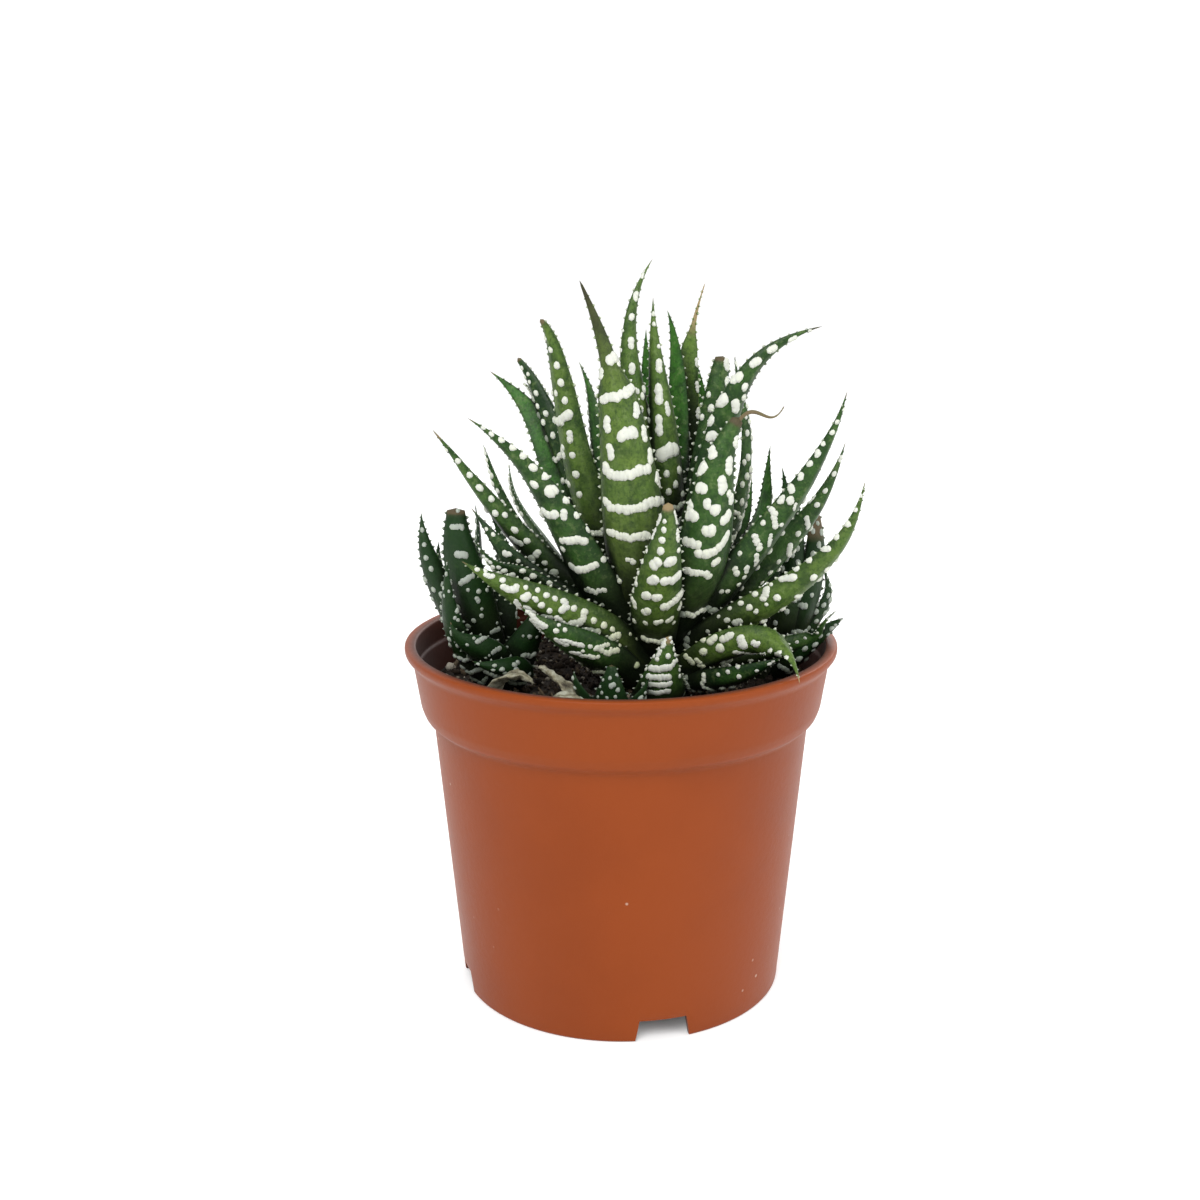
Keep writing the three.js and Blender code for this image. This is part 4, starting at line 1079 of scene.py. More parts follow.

# %% [markdown]
# ## Bumps seen in the photograph
# On the leaves that face the camera the bumps are put where the photograph shows them. Each mark
# is a radius in millimetres and one or more pixels, picked on the photograph: one pixel
# is a dot, and several are a run of bumps that join into a bar.

# %% Marks
MARKS = {
    1: [
        (1.1, (610, 360), (614, 358)), (0.9, (622, 356), (624, 353)), (0.6, (621, 363)),
        (0.9, (598, 371), (598, 376)),
        (0.85, (602, 400), (609, 397), (616, 397), (624, 393), (629, 391), (632, 386)),
        (0.75, (607, 419), (607, 429)), (0.75, (636, 405), (637, 415)),
        (1.0, (621, 438), (625, 433), (630, 432), (635, 433)), (0.7, (644, 429), (645, 438)),
        (0.75, (610, 447), (611, 457)), (0.7, (650, 451), (651, 461)),
        (0.95, (605, 468), (609, 473), (614, 476), (622, 476), (631, 474), (641, 471), (648, 470)),
        (0.7, (657, 474), (659, 484)),
        (0.9, (606, 502), (611, 507), (619, 509), (629, 510), (638, 508),
         (647, 504), (656, 501), (663, 500)),
        (0.75, (608, 531), (616, 535), (624, 537), (632, 538), (639, 537), (647, 535)),
        (0.5, (628, 560), (634, 562)),
    ],
    2: [
        (0.5, (665, 521)), (0.6, (664, 530)), (0.7, (662, 540)), (0.8, (661, 551)),
        (1.0, (654, 564), (658, 563)), (1.0, (668, 562), (674, 560)), (1.0, (651, 581), (656, 580)),
        (0.9, (665, 581), (672, 580), (679, 575)), (0.9, (645, 596), (648, 596)),
        (0.9, (655, 598), (658, 598)), (0.9, (664, 607), (671, 604), (679, 598), (682, 591)),
        (0.8, (645, 612), (648, 612)), (0.7, (656, 623), (660, 622)), (0.7, (667, 621), (672, 619)),
        (0.5, (658, 515), (655, 523)), (0.5, (653, 528), (650, 536)), (0.55, (646, 550)),
        (0.6, (641, 561)), (0.6, (635, 571)), (0.6, (631, 590)), (0.5, (676, 512), (677, 522)),
        (0.5, (678, 530), (678, 540)), (0.55, (679, 550)), (0.6, (631, 577)), (0.65, (636, 583)),
        (0.5, (628, 588)), (0.6, (631, 597), (635, 606)), (0.4, (624, 604)), (0.45, (628, 614)),
        (0.6, (634, 621)), (0.6, (645, 623)), (0.5, (674, 623)), (0.55, (679, 608), (681, 603)),
    ],
    3: [
        (0.8, (736, 440), (736, 445)), (0.9, (711, 450), (712, 455)), (1.1, (695, 468), (702, 466)),
        (0.95, (729, 461), (729, 470)), (1.15, (700, 487), (703, 488)), (0.95, (722, 481), (722, 490)),
        (0.8, (730, 494), (731, 500)), (0.75, (690, 503), (690, 508)), (0.75, (707, 501), (707, 505)),
        (1.1, (689, 514), (694, 516)), (1.15, (716, 510)), (1.0, (724, 520), (729, 515)),
        (1.15, (708, 531), (712, 531)), (0.9, (686, 542), (692, 543), (697, 545)),
        (0.85, (698, 553), (704, 555), (711, 553), (719, 548), (724, 542), (727, 535)),
        (0.85, (715, 562), (718, 561)), (0.7, (686, 571), (694, 572), (705, 573), (710, 577)),
    ],
    4: [
        (0.4, (652, 636)), (0.4, (658, 635)), (0.45, (648, 642)), (0.5, (644, 650)), (0.5, (639, 654)),
        (0.5, (636, 659), (638, 663)), (0.45, (664, 643), (662, 647)), (0.45, (660, 651), (658, 655)),
        (0.5, (657, 659)), (0.6, (668, 656)), (0.45, (673, 637)), (0.45, (675, 641)), (0.5, (677, 648)),
        (0.5, (678, 654)), (0.5, (675, 661), (672, 666)), (0.5, (681, 659)), (0.55, (683, 668)),
        (0.5, (680, 676)), (0.65, (650, 668), (661, 669), (670, 667)), (0.5, (645, 668)),
        (0.45, (641, 676)), (0.65, (648, 677), (659, 678), (669, 677)), (0.5, (643, 684)),
        (0.6, (649, 685), (660, 686), (670, 684)), (0.55, (645, 692), (657, 693), (669, 691)),
    ],
    5: [
        (0.5, (483, 428)), (0.6, (491, 434)), (0.65, (502, 440)), (0.7, (513, 447)), (0.75, (524, 455)),
        (0.85, (533, 467)), (0.85, (546, 475)), (0.9, (534, 485)), (1.1, (551, 491), (554, 490)),
        (0.8, (567, 500)), (0.9, (544, 511), (549, 515), (556, 515)), (0.7, (564, 512), (564, 517)),
        (0.7, (577, 515)), (0.7, (588, 529)), (0.8, (562, 540), (570, 541), (578, 540), (585, 542)),
        (0.7, (563, 549)), (0.8, (571, 567), (578, 570), (586, 569), (595, 565)), (0.7, (604, 559)),
        (0.55, (587, 590), (595, 592), (604, 590)), (0.45, (595, 603)), (0.45, (603, 605)),
    ],
    6: [
        (0.5, (477, 569)), (0.5, (487, 566)), (0.6, (486, 575), (492, 576)), (0.6, (503, 580)),
        (0.75, (503, 587), (510, 591), (517, 587)), (0.5, (526, 587)), (0.95, (526, 598), (528, 597)),
        (0.55, (538, 590)), (0.65, (547, 595)), (0.6, (555, 598)), (0.5, (534, 598), (537, 600)),
        (0.7, (542, 605)), (0.6, (549, 611)), (0.5, (557, 618), (563, 623), (569, 627)),
        (0.7, (564, 601), (566, 607), (561, 611)), (0.7, (574, 608)),
        (0.75, (584, 613), (583, 620), (577, 624), (572, 623)), (0.7, (594, 620)), (0.75, (604, 626)),
        (0.75, (583, 631), (597, 631)), (0.6, (613, 629)),
        (0.75, (587, 638), (598, 642), (609, 640), (618, 635)), (0.6, (577, 632)),
        (0.8, (545, 617), (549, 618)), (0.7, (526, 607), (532, 613)),
        (0.7, (547, 629), (557, 633), (568, 631)), (0.65, (565, 643), (583, 646)),
        (0.6, (516, 603), (521, 608)),
    ],
    7: [
        (0.7, (703, 639)), (0.75, (710, 641), (715, 637)), (0.8, (723, 639), (731, 635)),
        (1.0, (720, 648)), (0.9, (703, 652)), (0.9, (741, 639), (744, 647)),
        (0.75, (753, 643), (757, 645)), (0.7, (770, 652)), (0.6, (735, 652), (742, 653)),
        (0.6, (746, 653), (754, 654)), (0.6, (761, 657), (767, 659)), (0.65, (686, 656), (692, 663)),
        (0.65, (697, 660), (702, 667)), (0.55, (778, 655)), (0.5, (782, 662)),
    ],
    8: [
        (0.45, (845, 410)), (0.5, (837, 422)), (0.55, (832, 433)), (0.5, (823, 443)),
        (0.6, (817, 452), (817, 455)), (0.65, (809, 464)), (0.65, (801, 474), (801, 477)),
        (0.6, (791, 486), (792, 490)), (0.7, (790, 499), (790, 502)), (0.6, (782, 497), (781, 500)),
        (0.6, (771, 509), (774, 514), (775, 526)), (0.55, (763, 523)), (0.45, (782, 525)),
        (0.35, (796, 504), (794, 510)), (0.6, (754, 536), (757, 542), (760, 548)),
        (0.4, (771, 535), (769, 545)), (0.5, (740, 553)), (0.55, (736, 569), (737, 574)),
        (0.5, (747, 567), (747, 572)), (0.55, (757, 555), (756, 564)), (0.5, (744, 578)),
        (0.5, (739, 585)), (0.5, (728, 591)), (0.5, (722, 591)),
    ],
    9: [
        (0.5, (811, 334)), (0.7, (791, 340), (794, 339)), (0.75, (771, 350), (774, 349)),
        (0.8, (753, 363), (757, 361)), (0.95, (734, 379), (738, 377)), (0.8, (745, 387)),
        (1.15, (718, 402), (722, 400)), (0.85, (735, 402), (736, 409)), (0.7, (744, 398)),
        (0.85, (706, 418), (708, 423)), (0.95, (710, 437), (712, 436)),
    ],
    10: [
        (0.5, (446, 450)), (0.6, (458, 461)), (0.65, (470, 475)), (0.75, (480, 488)), (0.65, (492, 499)),
        (0.7, (495, 513)), (0.6, (505, 515)), (0.75, (515, 530)),
        (0.6, (511, 538), (517, 542), (521, 544)), (0.7, (527, 541)), (0.65, (537, 552), (536, 556)),
        (0.8, (532, 558), (532, 563)), (0.6, (545, 563)), (0.85, (545, 579), (549, 577), (554, 573)),
        (0.5, (565, 583)),
    ],
    11: [
        (0.4, (860, 496)), (0.5, (853, 509)), (0.7, (845, 522)), (0.7, (833, 534)),
        (0.7, (822, 547), (827, 549)), (0.75, (808, 559)), (0.65, (796, 568)),
        (0.75, (782, 579), (793, 577)), (0.4, (771, 584)), (0.65, (767, 589), (764, 598)),
        (0.65, (755, 594)), (0.75, (777, 598)), (0.6, (741, 603)), (0.7, (749, 608)), (0.45, (730, 608)),
        (0.5, (756, 612)), (0.4, (719, 616)), (0.65, (727, 620)), (0.75, (736, 623), (740, 621)),
        (0.45, (708, 631)),
    ],
    12: [
        (0.45, (643, 272), (642, 277)), (0.6, (636, 294), (636, 298)), (0.7, (632, 317)),
        (0.7, (632, 341), (631, 346)), (0.75, (632, 366), (632, 370)), (0.4, (620, 330)),
        (0.4, (619, 350)),
    ],
    14: [
        (0.6, (694, 361), (694, 366)), (0.65, (690, 385), (689, 390)), (0.8, (688, 411), (687, 416)),
        (0.7, (685, 436), (686, 441)),
    ],
    13: [
        (0.45, (659, 346)), (0.8, (659, 363), (659, 369)), (0.85, (659, 388), (659, 399)),
        (0.6, (667, 405), (668, 414)), (0.8, (659, 419), (659, 432)),
        (1.3, (661, 454), (667, 451), (674, 449)),
    ],
    16: [
        (0.6, (544, 339)), (0.6, (550, 350)), (0.7, (557, 365)), (0.75, (561, 382)), (0.6, (556, 393)),
        (0.7, (565, 400)), (1.0, (558, 423), (564, 418), (569, 415)), (0.7, (570, 434), (570, 439)),
        (0.8, (563, 448), (563, 455)), (0.7, (572, 456)), (0.8, (576, 475)), (0.8, (569, 484)),
        (0.7, (579, 494)),
    ],
    17: [
        (0.4, (841, 457), (840, 461)), (0.55, (834, 474)), (0.55, (825, 491)), (0.6, (817, 505)),
        (0.35, (808, 490), (804, 498)), (0.5, (807, 518), (808, 527)), (0.6, (798, 534)),
        (0.4, (801, 540)), (0.6, (790, 546), (789, 555), (793, 558)), (0.55, (779, 562)),
        (0.4, (782, 568)), (0.6, (770, 573)), (0.45, (762, 583)),
    ],
    18: [(0.8, (727, 362), (727, 367)), (0.8, (727, 379), (727, 384))],
    19: [
        (0.6, (530, 612), (537, 622), (545, 627)), (0.55, (528, 623), (537, 630)),
        (0.6, (597, 648), (607, 653), (617, 650)), (0.6, (572, 652), (583, 656), (593, 658)),
        (0.45, (537, 638)), (0.45, (531, 637)), (0.5, (590, 647)), (0.5, (598, 657)),
        (0.6, (556, 640), (566, 645)), (0.5, (580, 664)), (0.45, (570, 660)),
    ],
    27: [(0.4, (797, 642)), (0.35, (805, 638)), (0.35, (817, 633)), (0.3, (824, 628))],
    "offset_left 0": [(0.5, (422, 530)), (0.5, (424, 545)), (0.55, (426, 558)), (0.55, (431, 569))],
    "offset_left 1": [
        (0.5, (458, 510)), (0.6, (452, 527), (462, 527)), (0.75, (457, 554), (466, 555)),
        (0.6, (461, 583), (472, 576)),
    ],
}
print("leaves with marks of their own:", len(MARKS))

# %% [markdown]
# ## Marks without a leaf
# Low down, small leaves lie across one another, and it is hard to say by eye which of them a mark
# is on. These marks have no leaf yet. A ray from the camera through a mark's first pixel finds
# the leaf that it meets first, and a mark that meets none is left out.

# %% Loose marks
LOOSE_MARKS = [
    (0.45, (464, 581)), (0.4, (468, 590)), (0.55, (479, 591)), (0.45, (477, 598), (479, 601)),
    (0.45, (487, 590)), (0.5, (496, 598)), (0.35, (482, 609)), (0.6, (458, 610)), (0.5, (481, 616)),
    (0.55, (474, 621)), (0.6, (468, 626)), (0.4, (455, 618)), (0.4, (458, 620)), (0.4, (504, 616)),
    (0.5, (513, 613)), (0.35, (497, 623)), (0.5, (492, 632), (499, 629)), (0.5, (477, 642), (485, 637)),
    (0.35, (474, 638)), (0.35, (467, 645)), (0.45, (492, 653), (500, 648)), (0.35, (507, 647)),
    (0.3, (489, 656)), (0.3, (486, 658)), (0.5, (530, 637)), (0.35, (537, 637)), (0.3, (523, 636)),
    (0.3, (543, 643)), (0.4, (451, 583)), (0.35, (454, 596)), (0.35, (444, 596)), (0.35, (449, 591)),
    (0.4, (443, 588)), (0.4, (481, 534)), (0.4, (486, 529)), (0.45, (493, 534)), (0.4, (500, 534)),
    (0.5, (486, 549)), (0.5, (492, 553)), (0.6, (505, 554), (509, 554)), (0.45, (518, 561)),
    (0.4, (490, 525)), (0.45, (518, 607)), (0.55, (528, 611)), (0.45, (535, 620), (542, 628)),
    (0.6, (556, 631)), (0.5, (565, 630)), (0.4, (559, 625)), (0.45, (561, 640), (572, 643), (583, 646)),
    (0.45, (590, 646)), (0.4, (595, 649)), (0.45, (600, 647), (608, 644)), (0.4, (611, 649)),
    (0.4, (620, 645)), (0.4, (583, 651)), (0.4, (630, 634)), (0.35, (637, 639)),
    (0.4, (516, 600), (519, 605)), (0.35, (600, 687)), (0.5, (611, 686), (614, 685)), (0.4, (602, 693)),
    (0.35, (598, 697)), (0.5, (618, 690)), (0.4, (625, 688)), (0.35, (621, 679)), (0.35, (617, 675)),
    (0.4, (610, 678)), (0.35, (603, 680)), (0.4, (628, 694)), (0.35, (607, 698)), (0.4, (615, 697)),
    (0.6, (787, 612)), (0.6, (800, 605), (805, 606)), (0.5, (812, 595)), (0.65, (775, 623)),
    (0.4, (766, 605)), (0.4, (756, 611)), (0.55, (750, 661)), (0.55, (738, 666)), (0.5, (728, 672)),
    (0.55, (739, 677)), (0.45, (718, 675)), (0.4, (757, 671)),
]


def leaf_under(pixel):
    """The leaf that covers a pixel, or None."""
    across, down = (np.array(pixel) - IMAGE_SIZE / 2) / FOCAL_PIXELS
    ray = camera_turn @ Vector((across, -down, -1))
    index = tree.ray_cast(camera_place / MM, ray.normalized())[2]
    return None if index is None else list(forms)[index // ((GRID_ROWS - 1) * GRID_TURNS)]


for mark in LOOSE_MARKS:
    MARKS.setdefault(leaf_under(mark[1]), []).append(mark)
print("leaves with marks:", [key for key in MARKS if key in forms])

# %% [markdown]
# ## From a mark to bumps
# A mark is laid on the point of the leaf's surface that the camera sees at its pixel: of a fine
# grid over the leaf, the nearest point that faces the camera. The rule still fills what the
# camera can't see, and its bumps in view stay only where they are well away from every mark.

# %% Marks as bumps
SEEN_ROWS, SEEN_TURNS, PAST_EDGE = 220, 70, 0.25
BEAD_STEP, BEAD_STRAY = 0.62, 0.9
MARK_LENGTH, MARK_HEIGHT = 1.12, 0.42
CLEARANCE = 0.42
HIDDEN = 1e6


def seen_bumps(leaf, marks, draw):
    """The marks of one leaf as bumps."""
    turns = np.linspace(-PAST_EDGE, math.pi + PAST_EDGE, SEEN_TURNS)
    t, turn = np.meshgrid(np.linspace(0.02, 0.99, SEEN_ROWS), turns, indexing="ij")
    points = leaf.surface(t, turn) * MM
    away = np.sum(leaf.normal(t, turn)[0] * (np.array(camera_place) - points), axis=-1)
    pixels = to_pixels(points)
    pixels[away < 0] = HIDDEN
    found = []
    for radius, *run in marks:
        spots = [Vector(run[0])]
        for before, after in zip(run, run[1:]):
            length = (Vector(after) - Vector(before)).length
            step = radius * BEAD_STEP * FOCAL_PIXELS * MM / DISTANCE
            count = max(1, round(length / step))
            spots += [Vector(before).lerp(Vector(after), (i + 1) / count) for i in range(count)]
        for spot in spots:
            stray = radius * BEAD_STRAY if len(spots) > 1 else 0
            spot += Vector((draw.uniform(-stray, stray), draw.uniform(-stray, stray)))
            nearest = np.argmin(np.sum((pixels - np.array(spot)) ** 2, axis=-1))
            grow = radius * (draw.uniform(0.86, 1.12) if len(spots) > 1 else 1)
            place = (t.flat[nearest], turn.flat[nearest])
            found.append((*place, grow, grow * MARK_LENGTH, grow * MARK_HEIGHT))
    return found


def clear_of(leaf, bumps, marked):
    """The rule's bumps that the camera doesn't see, or that lie well away from every mark."""
    t, turn = np.array(bumps).T[:2]
    points = leaf.surface(t, turn)
    facing = np.sum(leaf.normal(t, turn)[0] * (np.array(camera_place) / MM - points), axis=-1)
    marks = leaf.surface(*np.array(marked).T[:2])
    nearest = np.linalg.norm(points[:, None] - marks, axis=-1).min(axis=1)
    keep = (facing < 0) | (nearest > CLEARANCE * leaf.width)
    return [bump for bump, kept in zip(bumps, keep) if kept]


print("bumps marked on leaf 1:", len(seen_bumps(forms[1], MARKS[1], random.Random("trial"))))

# %% [markdown]
# ## One grown leaf
# A leaf is its skin, its bumps and its teeth in one mesh. Its tone, its dry tip and how far its
# bumps have yellowed are read off the photograph for the leaves in front; the others get a tone
# from their own seed. One withered tip ends in a thread, which is a very thin leaf.

# %% Grown leaf
DRY_TIPS = {
    1: (0.34, 0.0, 0.9),
    2: (0.05, 0.8),
    3: (0.05, 0.15),
    4: (0.07, 0.7),
    7: (0.05, 0.9),
    9: (0.05, 0.0),
    10: (0.05, 0.5),
    14: (0.2, 0.9),
    16: (0.05, 0.3),
    18: (0.05, 0.2),
    "offset_left 1": (0.05, 0.2),
    "offset_right 0": (0.2, 0.25),
}
DRY_TIP_ELSEWHERE, DRY_TIP_SOFTNESS = (0.025, 0.3), 0.35
TONES = {
    1: 0.68, 2: 0.6, 3: 0.25, 4: 0.4, 5: 0.0, 6: 0.68, 7: 0.7, 8: 0.1, 10: 0.4, 11: 0.6, 12: 0.55,
    13: 0.6, 14: 1.5, 15: 0.3, 16: 0.62, 21: 0.35, 19: 0.2, 22: -0.2, 23: -0.3, 24: -0.3, 26: -0.25,
}
YELLOWED, YELLOWED_ELSEWHERE = {6: 0.9, 7: 0.8, 19: 1.0, 4: 0.8, 2: 0.45}, 0.25
WISPS = {3: [(20.4, -19, 115), (23.6, -19, 117.4), (26.4, -18.5, 116.4), (29.2, -18, 118.4)]}
WISP_WIDTH, WISP_KEPT = 0.8, 0.9
SMALL_WIDTH = 8
TOOTH_SPACING, TOOTH_WHITE, TOOTH_POINT = 2.1, 0.52, 0.65


def grow_leaf(key):
    """One leaf with its bumps, as a bmesh in metres."""
    leaf = forms[key]
    draw = random.Random(f"leaf {key}")
    tone = TONES.get(key, draw.uniform(-0.15, 0.2))
    small = leaf.width < SMALL_WIDTH
    skin, t, turn = leaf_mesh(leaf, 40 if small else 64, 20 if small else 28)
    tip_length, warm, *soft = DRY_TIPS.get(key, DRY_TIP_ELSEWHERE)
    softness = soft[0] if soft else DRY_TIP_SOFTNESS
    set_values(
        skin,
        along=t,
        tone=tone,
        warm=warm,
        edge=np.abs(np.cos(turn)),
        side=np.cos(turn),
        face=np.where(np.sin(turn) < -0.05, 1.0, 0.0),
        tip=np.clip((t - 1 + tip_length) / (softness * tip_length), 0, 1),
        shelter=shelter_at(leaf, t, turn),
    )
    pitch, bars_until = (2.3 + 0.1 * leaf.width, 0.3) if small else (2.6 + 0.22 * leaf.width, 0.5)
    bumps = [bump for bump in rule_bumps(leaf, draw, pitch, bars_until) if bump[0] < leaf.withered]
    if key in MARKS:
        marked = seen_bumps(leaf, MARKS[key], draw)
        bumps = marked + clear_of(leaf, bumps, marked)
    yellow = YELLOWED.get(key, YELLOWED_ELSEWHERE)
    teeth = edge_teeth(leaf, draw, TOOTH_SPACING)
    teeth = bump_mesh(leaf, teeth, tone, yellow, TOOTH_WHITE, TOOTH_POINT)
    meshes = [skin, bump_mesh(leaf, bumps, tone, yellow), teeth]
    if key in WISPS:
        leaf.points, leaf.width, leaf.kept = np.array(WISPS[key]), WISP_WIDTH, WISP_KEPT
        wisp = leaf_mesh(leaf, 40, 8)[0]
        set_values(wisp, along=1.0, tone=0.0, tip=1.0, warm=0.4)
        meshes.append(wisp)
    return in_metres(join(meshes))


total = 0
for number in range(1, len(LEAVES) + 1):
    name = f"leaf_{number:02d}"
    leaf = piece_from(grow_leaf(number), name + "_fine", leaf_skin, [name])
    total += len(leaf.data.polygons)
print("main rosette faces:", total)

# %% [markdown]
# ## Stems
# The stem hardly shows between the leaves: a short brown cone, spun from an outline, subdivided
# and made knobbly with noise. Every offset has a smaller one of the same make.

# %% Stem
STEM_SIDES, STEM_ROUNDING, STEM_DEPTH = 32, 1.5, 5
KNOB_HEIGHT, KNOBS_PER_MM = 0.06, 0.9


def stem_mesh(radius, height, at):
    """A short tapering stem with a knobbly surface, as a bmesh in metres."""
    outline = [
        (0, -STEM_DEPTH),
        (radius, -STEM_DEPTH),
        (radius, height * 0.15),
        (radius * 0.5, height * 0.85),
        (0, height),
    ]
    bm = turned(rounded(outline, STEM_ROUNDING), STEM_SIDES)
    bmesh.ops.subdivide_edges(bm, edges=bm.edges, cuts=1, use_grid_fill=True)
    for vert in bm.verts:
        vert.co *= 1 + KNOB_HEIGHT * noise.noise(vert.co * KNOBS_PER_MM)
    bmesh.ops.translate(bm, verts=bm.verts, vec=(*at, SOIL_HEIGHT))
    return in_metres(bm)


bark_shader = Shader("old_stem")
fibres = bark_shader.noise(800, 4, 0.7)
bark = bark_shader.mix((0.03, 0.022, 0.012), (0.12, 0.10, 0.045), bark_shader.ramp(fibres, 0.3, 0.7))
bark_material = bark_shader.finish(bark, 0.85, height=fibres, depth=0.3 * MM)
stem = stem_mesh(STEM_RADIUS, STEM_HEIGHT, CROWN)
stem = piece_from(stem, "stem_fine", bark_material, ["stem"])
print("stem faces:", len(stem.data.polygons))

# %% [markdown]
# ## Offsets
# Each young rosette is one piece: its own small leaves, grown by the same function in a darker
# skin, which paints in the shade they stand in, round its short stem. As one piece it is as easy
# to move as it would be to pot up.

# %% Offsets
OFFSET_STEM_HEIGHT = 7

for name, (at, rows) in OFFSETS.items():
    parts = [mesh_from(stem_mesh(OFFSET_STEM_RADIUS, OFFSET_STEM_HEIGHT, offset_crown(at)))]
    parts += [mesh_from(grow_leaf(f"{name} {i}")) for i in range(len(rows))]
    piece_from(join(parts), name + "_fine", offset_shaded_skin, [name])
print("offsets:", list(OFFSETS))

# %% [markdown]
# ## Dry leaves
# Old leaves dry up on the soil as thin, grey brown, wrinkled strips. A cloth simulation could
# crumple one, but a flattened UV sphere along a bent line, wrinkled by noise, is as good at this
# size. Blender takes the seed of this kind of noise from the clock, so it is set here, and the
# wrinkles always come out the same. A row is a strip's foot, middle and tip, and its width.

# %% Dry leaves
DRY_LEAVES = {
    "dry_leaf_left": ([(-33, -15, -0.5), (-28.5, -19, 7.5), (-23.5, -20.5, 7)], 6),
    "dry_leaf_front": ([(-24, -22, -0.5), (-19, -25.5, 5.5), (-13.5, -25.5, 4.5)], 6),
    "dry_leaf_curled": ([(-13, -21, -0.5), (-17.5, -18.5, 5.5), (-22.5, -15.5, 8.5)], 3.5),
}
DRY_STOPS = [(0.32, (0.05, 0.04, 0.028)), (0.46, (0.22, 0.20, 0.13)), (0.62, (0.42, 0.42, 0.33))]
DRY_THICKNESS, DRY_CUPPING = 0.55, 0.25
WRINKLE_HEIGHT, WRINKLES_PER_MM, WRINKLE_SEED = 0.45, 0.7, 11

dry_shader = Shader("dry_leaf")
blotches = dry_shader.noise(420, 4, 0.65)
dry_colour = dry_shader.node("ShaderNodeValToRGB", {"Fac": blotches}, stops=DRY_STOPS)
dry_material = dry_shader.finish(dry_colour, 0.9, height=dry_shader.noise(1500, 4), depth=0.4 * MM)


def dry_leaf(points, width):
    """A wrinkled strip: a UV sphere flattened along a bent line, as a bmesh in metres."""
    a, b, c = [np.array(point) + np.array([*CROWN, SOIL_HEIGHT]) for point in points]
    bm = bmesh.new()
    bmesh.ops.create_uvsphere(bm, u_segments=20, v_segments=40, radius=1)
    for vert in bm.verts:
        t = 1 - math.acos(max(-1, min(1, vert.co.z))) / math.pi
        centre = a * (1 - t) * (1 - 2 * t) + b * 4 * t * (1 - t) + c * t * (2 * t - 1)
        ahead = a * (4 * t - 3) + b * (4 - 8 * t) + c * (4 * t - 1)
        side = Vector((ahead[1], -ahead[0], 0)).normalized()
        half = width / 2 * (0.35 + 0.65 * math.sin(math.pi * min(t + 0.15, 1)))
        ring = math.hypot(vert.co.x, vert.co.y)
        across, out = (vert.co.x / ring, vert.co.y / ring) if ring > 1e-4 else (0, 0)
        place = Vector(centre) + side * across * half
        place.z += DRY_CUPPING * half * across ** 2 + DRY_THICKNESS * out
        vert.co = place + noise.noise_vector(place * WRINKLES_PER_MM) * WRINKLE_HEIGHT
    return in_metres(bm)


noise.seed_set(WRINKLE_SEED)
for name, (points, width) in DRY_LEAVES.items():
    piece_from(dry_leaf(points, width), name + "_fine", dry_material, [name])
print("dry leaves:", len(DRY_LEAVES))

# %% [markdown]
# ## Floor
# The photograph has pure white round the plant and only a breath of shadow at the pot's foot. A
# pale floor bends up into a backdrop, so that no edge shows. On its own it would look grey, so it
# glows a little, least under the pot and more far away, apart from the backdrop straight behind
# the pot, which the light from behind already whitens.

# %% Floor
FLOOR_SIZE, FLOOR_BEND_AT, BEND_RADIUS = 3.0, 0.9, 0.5
FLOOR_COLOUR, FLOOR_GLOW, FAR_GLOW = (0.8, 0.8, 0.8), (0.36, 0.36, 0.36), (0.75, 0.75, 0.75)

floor_bm = bmesh.new()
bmesh.ops.create_grid(floor_bm, x_segments=2, y_segments=48, size=FLOOR_SIZE)
for vert in floor_bm.verts:
    past = vert.co.y - FLOOR_BEND_AT
    if past > 0:
        angle = min(past / BEND_RADIUS, math.pi / 2)
        rise = past - BEND_RADIUS * math.pi / 2
        vert.co.y = FLOOR_BEND_AT + BEND_RADIUS * math.sin(angle)
        vert.co.z = BEND_RADIUS * (1 - math.cos(angle)) + max(0, rise)

floor_shader = Shader("floor")
floor_place = floor_shader.place()
x, y = [floor_shader.node("ShaderNodeSeparateXYZ", {0: floor_place}, out=name) for name in "XY"]
distance = (x * x + y * y) ** 0.5
behind = floor_shader.ramp(y, 0.3, 0.8) * (1 - floor_shader.ramp(x * x, 0.6, 1.4))
far = floor_shader.ramp(distance, 0.7, 1.5) * (1 - behind)
# Painted shadow: no glow under the pot, fading in round its foot.
glow = floor_shader.mix((0, 0, 0), FLOOR_GLOW, floor_shader.ramp(distance, 0.02, 0.037))
glow = floor_shader.mix(glow, FAR_GLOW, far)
floor_shader.feed(floor_shader.principled.inputs["Emission Color"], glow)
floor_material = floor_shader.finish(FLOOR_COLOUR, 0.9, Specular_IOR_Level=0.1, Emission_Strength=1.0)
floor = smooth_object(floor_bm, "floor", floor_material)
print("floor glow nodes:", len(floor_shader.tree.nodes))

# %% [markdown]
# ## White surroundings
# Seen from the side or from behind, the floor's edge and the world beyond it would show. A white
# screen stands all round, but only the camera sees it: it throws no light on the plant, is in no
# reflection and casts no shadow.

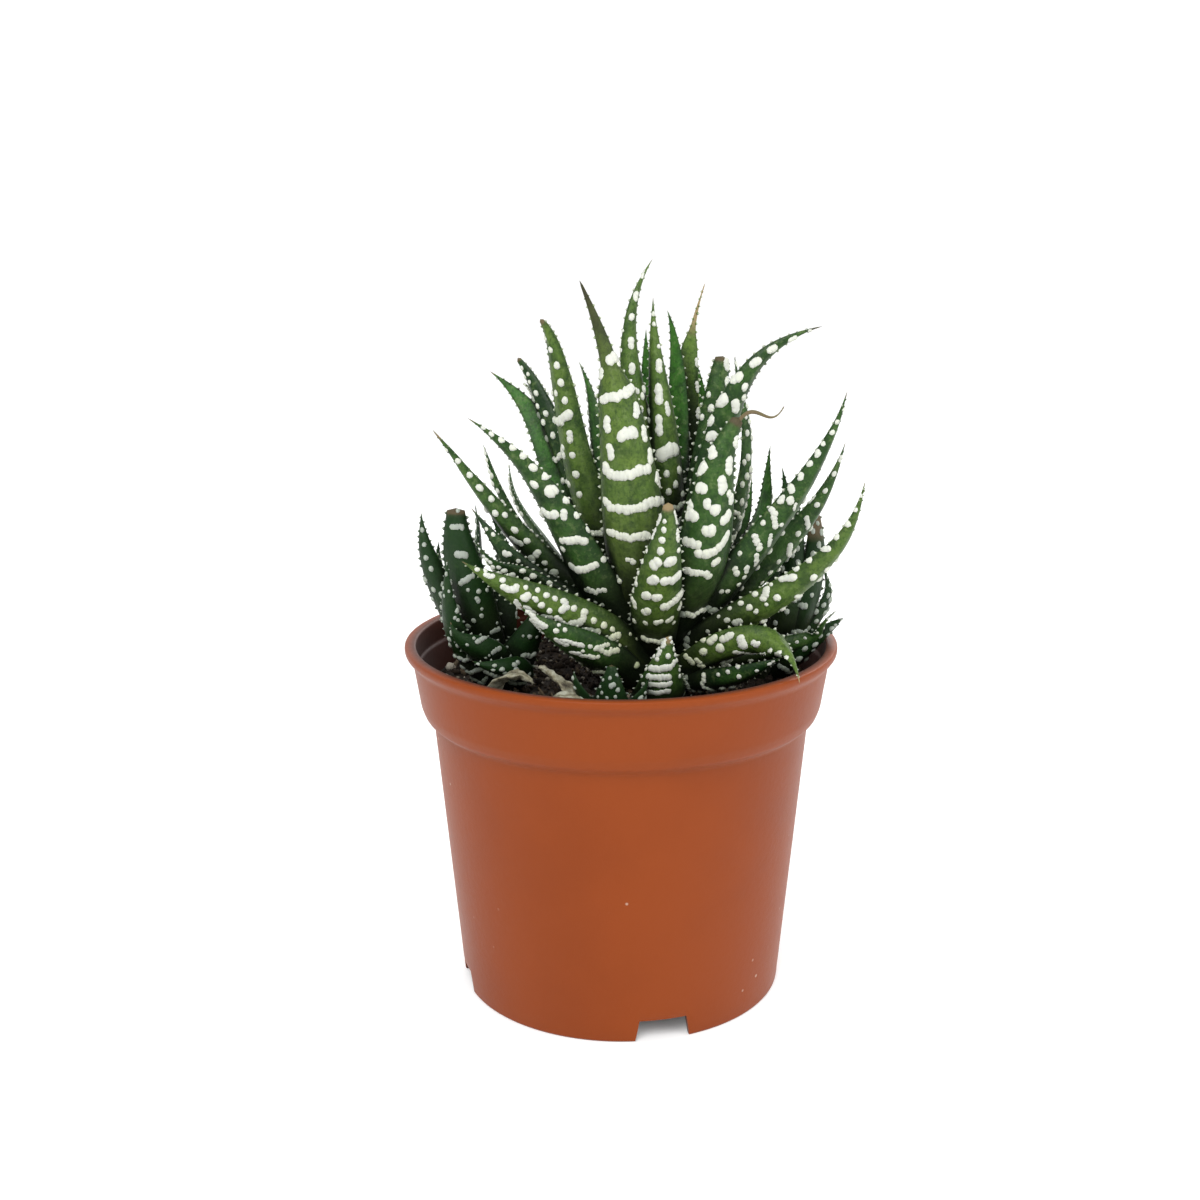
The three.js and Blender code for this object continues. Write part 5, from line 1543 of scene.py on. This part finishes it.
# %% Screen
SCREEN_RADIUS, SCREEN_BRIGHTNESS = 2.9, 1.05

screen_bm = bmesh.new()
sizes = {"radius1": SCREEN_RADIUS, "radius2": SCREEN_RADIUS, "depth": 2 * SCREEN_RADIUS}
bmesh.ops.create_cone(screen_bm, segments=96, **sizes)
screen_material = Shader("screen").finish(
    (0, 0, 0),
    1.0,
    Specular_IOR_Level=0.0,
    Emission_Color=(1, 1, 1, 1),
    Emission_Strength=SCREEN_BRIGHTNESS,
)
screen_material.cycles.emission_sampling = "NONE"
screen = smooth_object(screen_bm, "screen", screen_material)
for kind in ("diffuse", "glossy", "transmission", "shadow"):
    setattr(screen, "visible_" + kind, False)
print("screen faces:", len(screen.data.polygons))

# %% [markdown]
# ## Light
# Soft light as in a small studio: a large lamp from the front left above, a weaker one from the
# right, and one behind that gives the pot's sides their pale sheen. A white world fills in the
# rest. The "Standard" view keeps white at white, where the default one would turn it grey.

# %% Light
WORLD_STRENGTH = 0.6
LIGHTS_AIM = Vector((0, 0, 0.08))
LIGHTS = {
    "key": ((-0.15, -0.55, 0.65), 0.45, 5.0),
    "fill": ((0.6, -0.35, 0.35), 0.5, 1.6),
    "rim": ((0.25, 0.6, 0.5), 0.5, 2.0),
}

world = bpy.data.worlds.new("studio")
world.use_nodes = True
sky = world.node_tree.nodes["Background"].inputs
sky["Color"].default_value = (1, 1, 1, 1)
sky["Strength"].default_value = WORLD_STRENGTH
bpy.context.scene.world = world
for name, (place, size, power) in LIGHTS.items():
    light_data = bpy.data.lights.new(name, "AREA")
    light_data.shape = "DISK"
    light_data.size = size
    light_data.energy = power
    towards = Vector(place) - LIGHTS_AIM
    turn = towards.to_track_quat("Z", "Y").to_matrix().to_4x4()
    linked(name, light_data).matrix_world = Matrix.Translation(place) @ turn
bpy.context.scene.view_settings.view_transform = "Standard"
print("lights:", list(LIGHTS))

# %% [markdown]
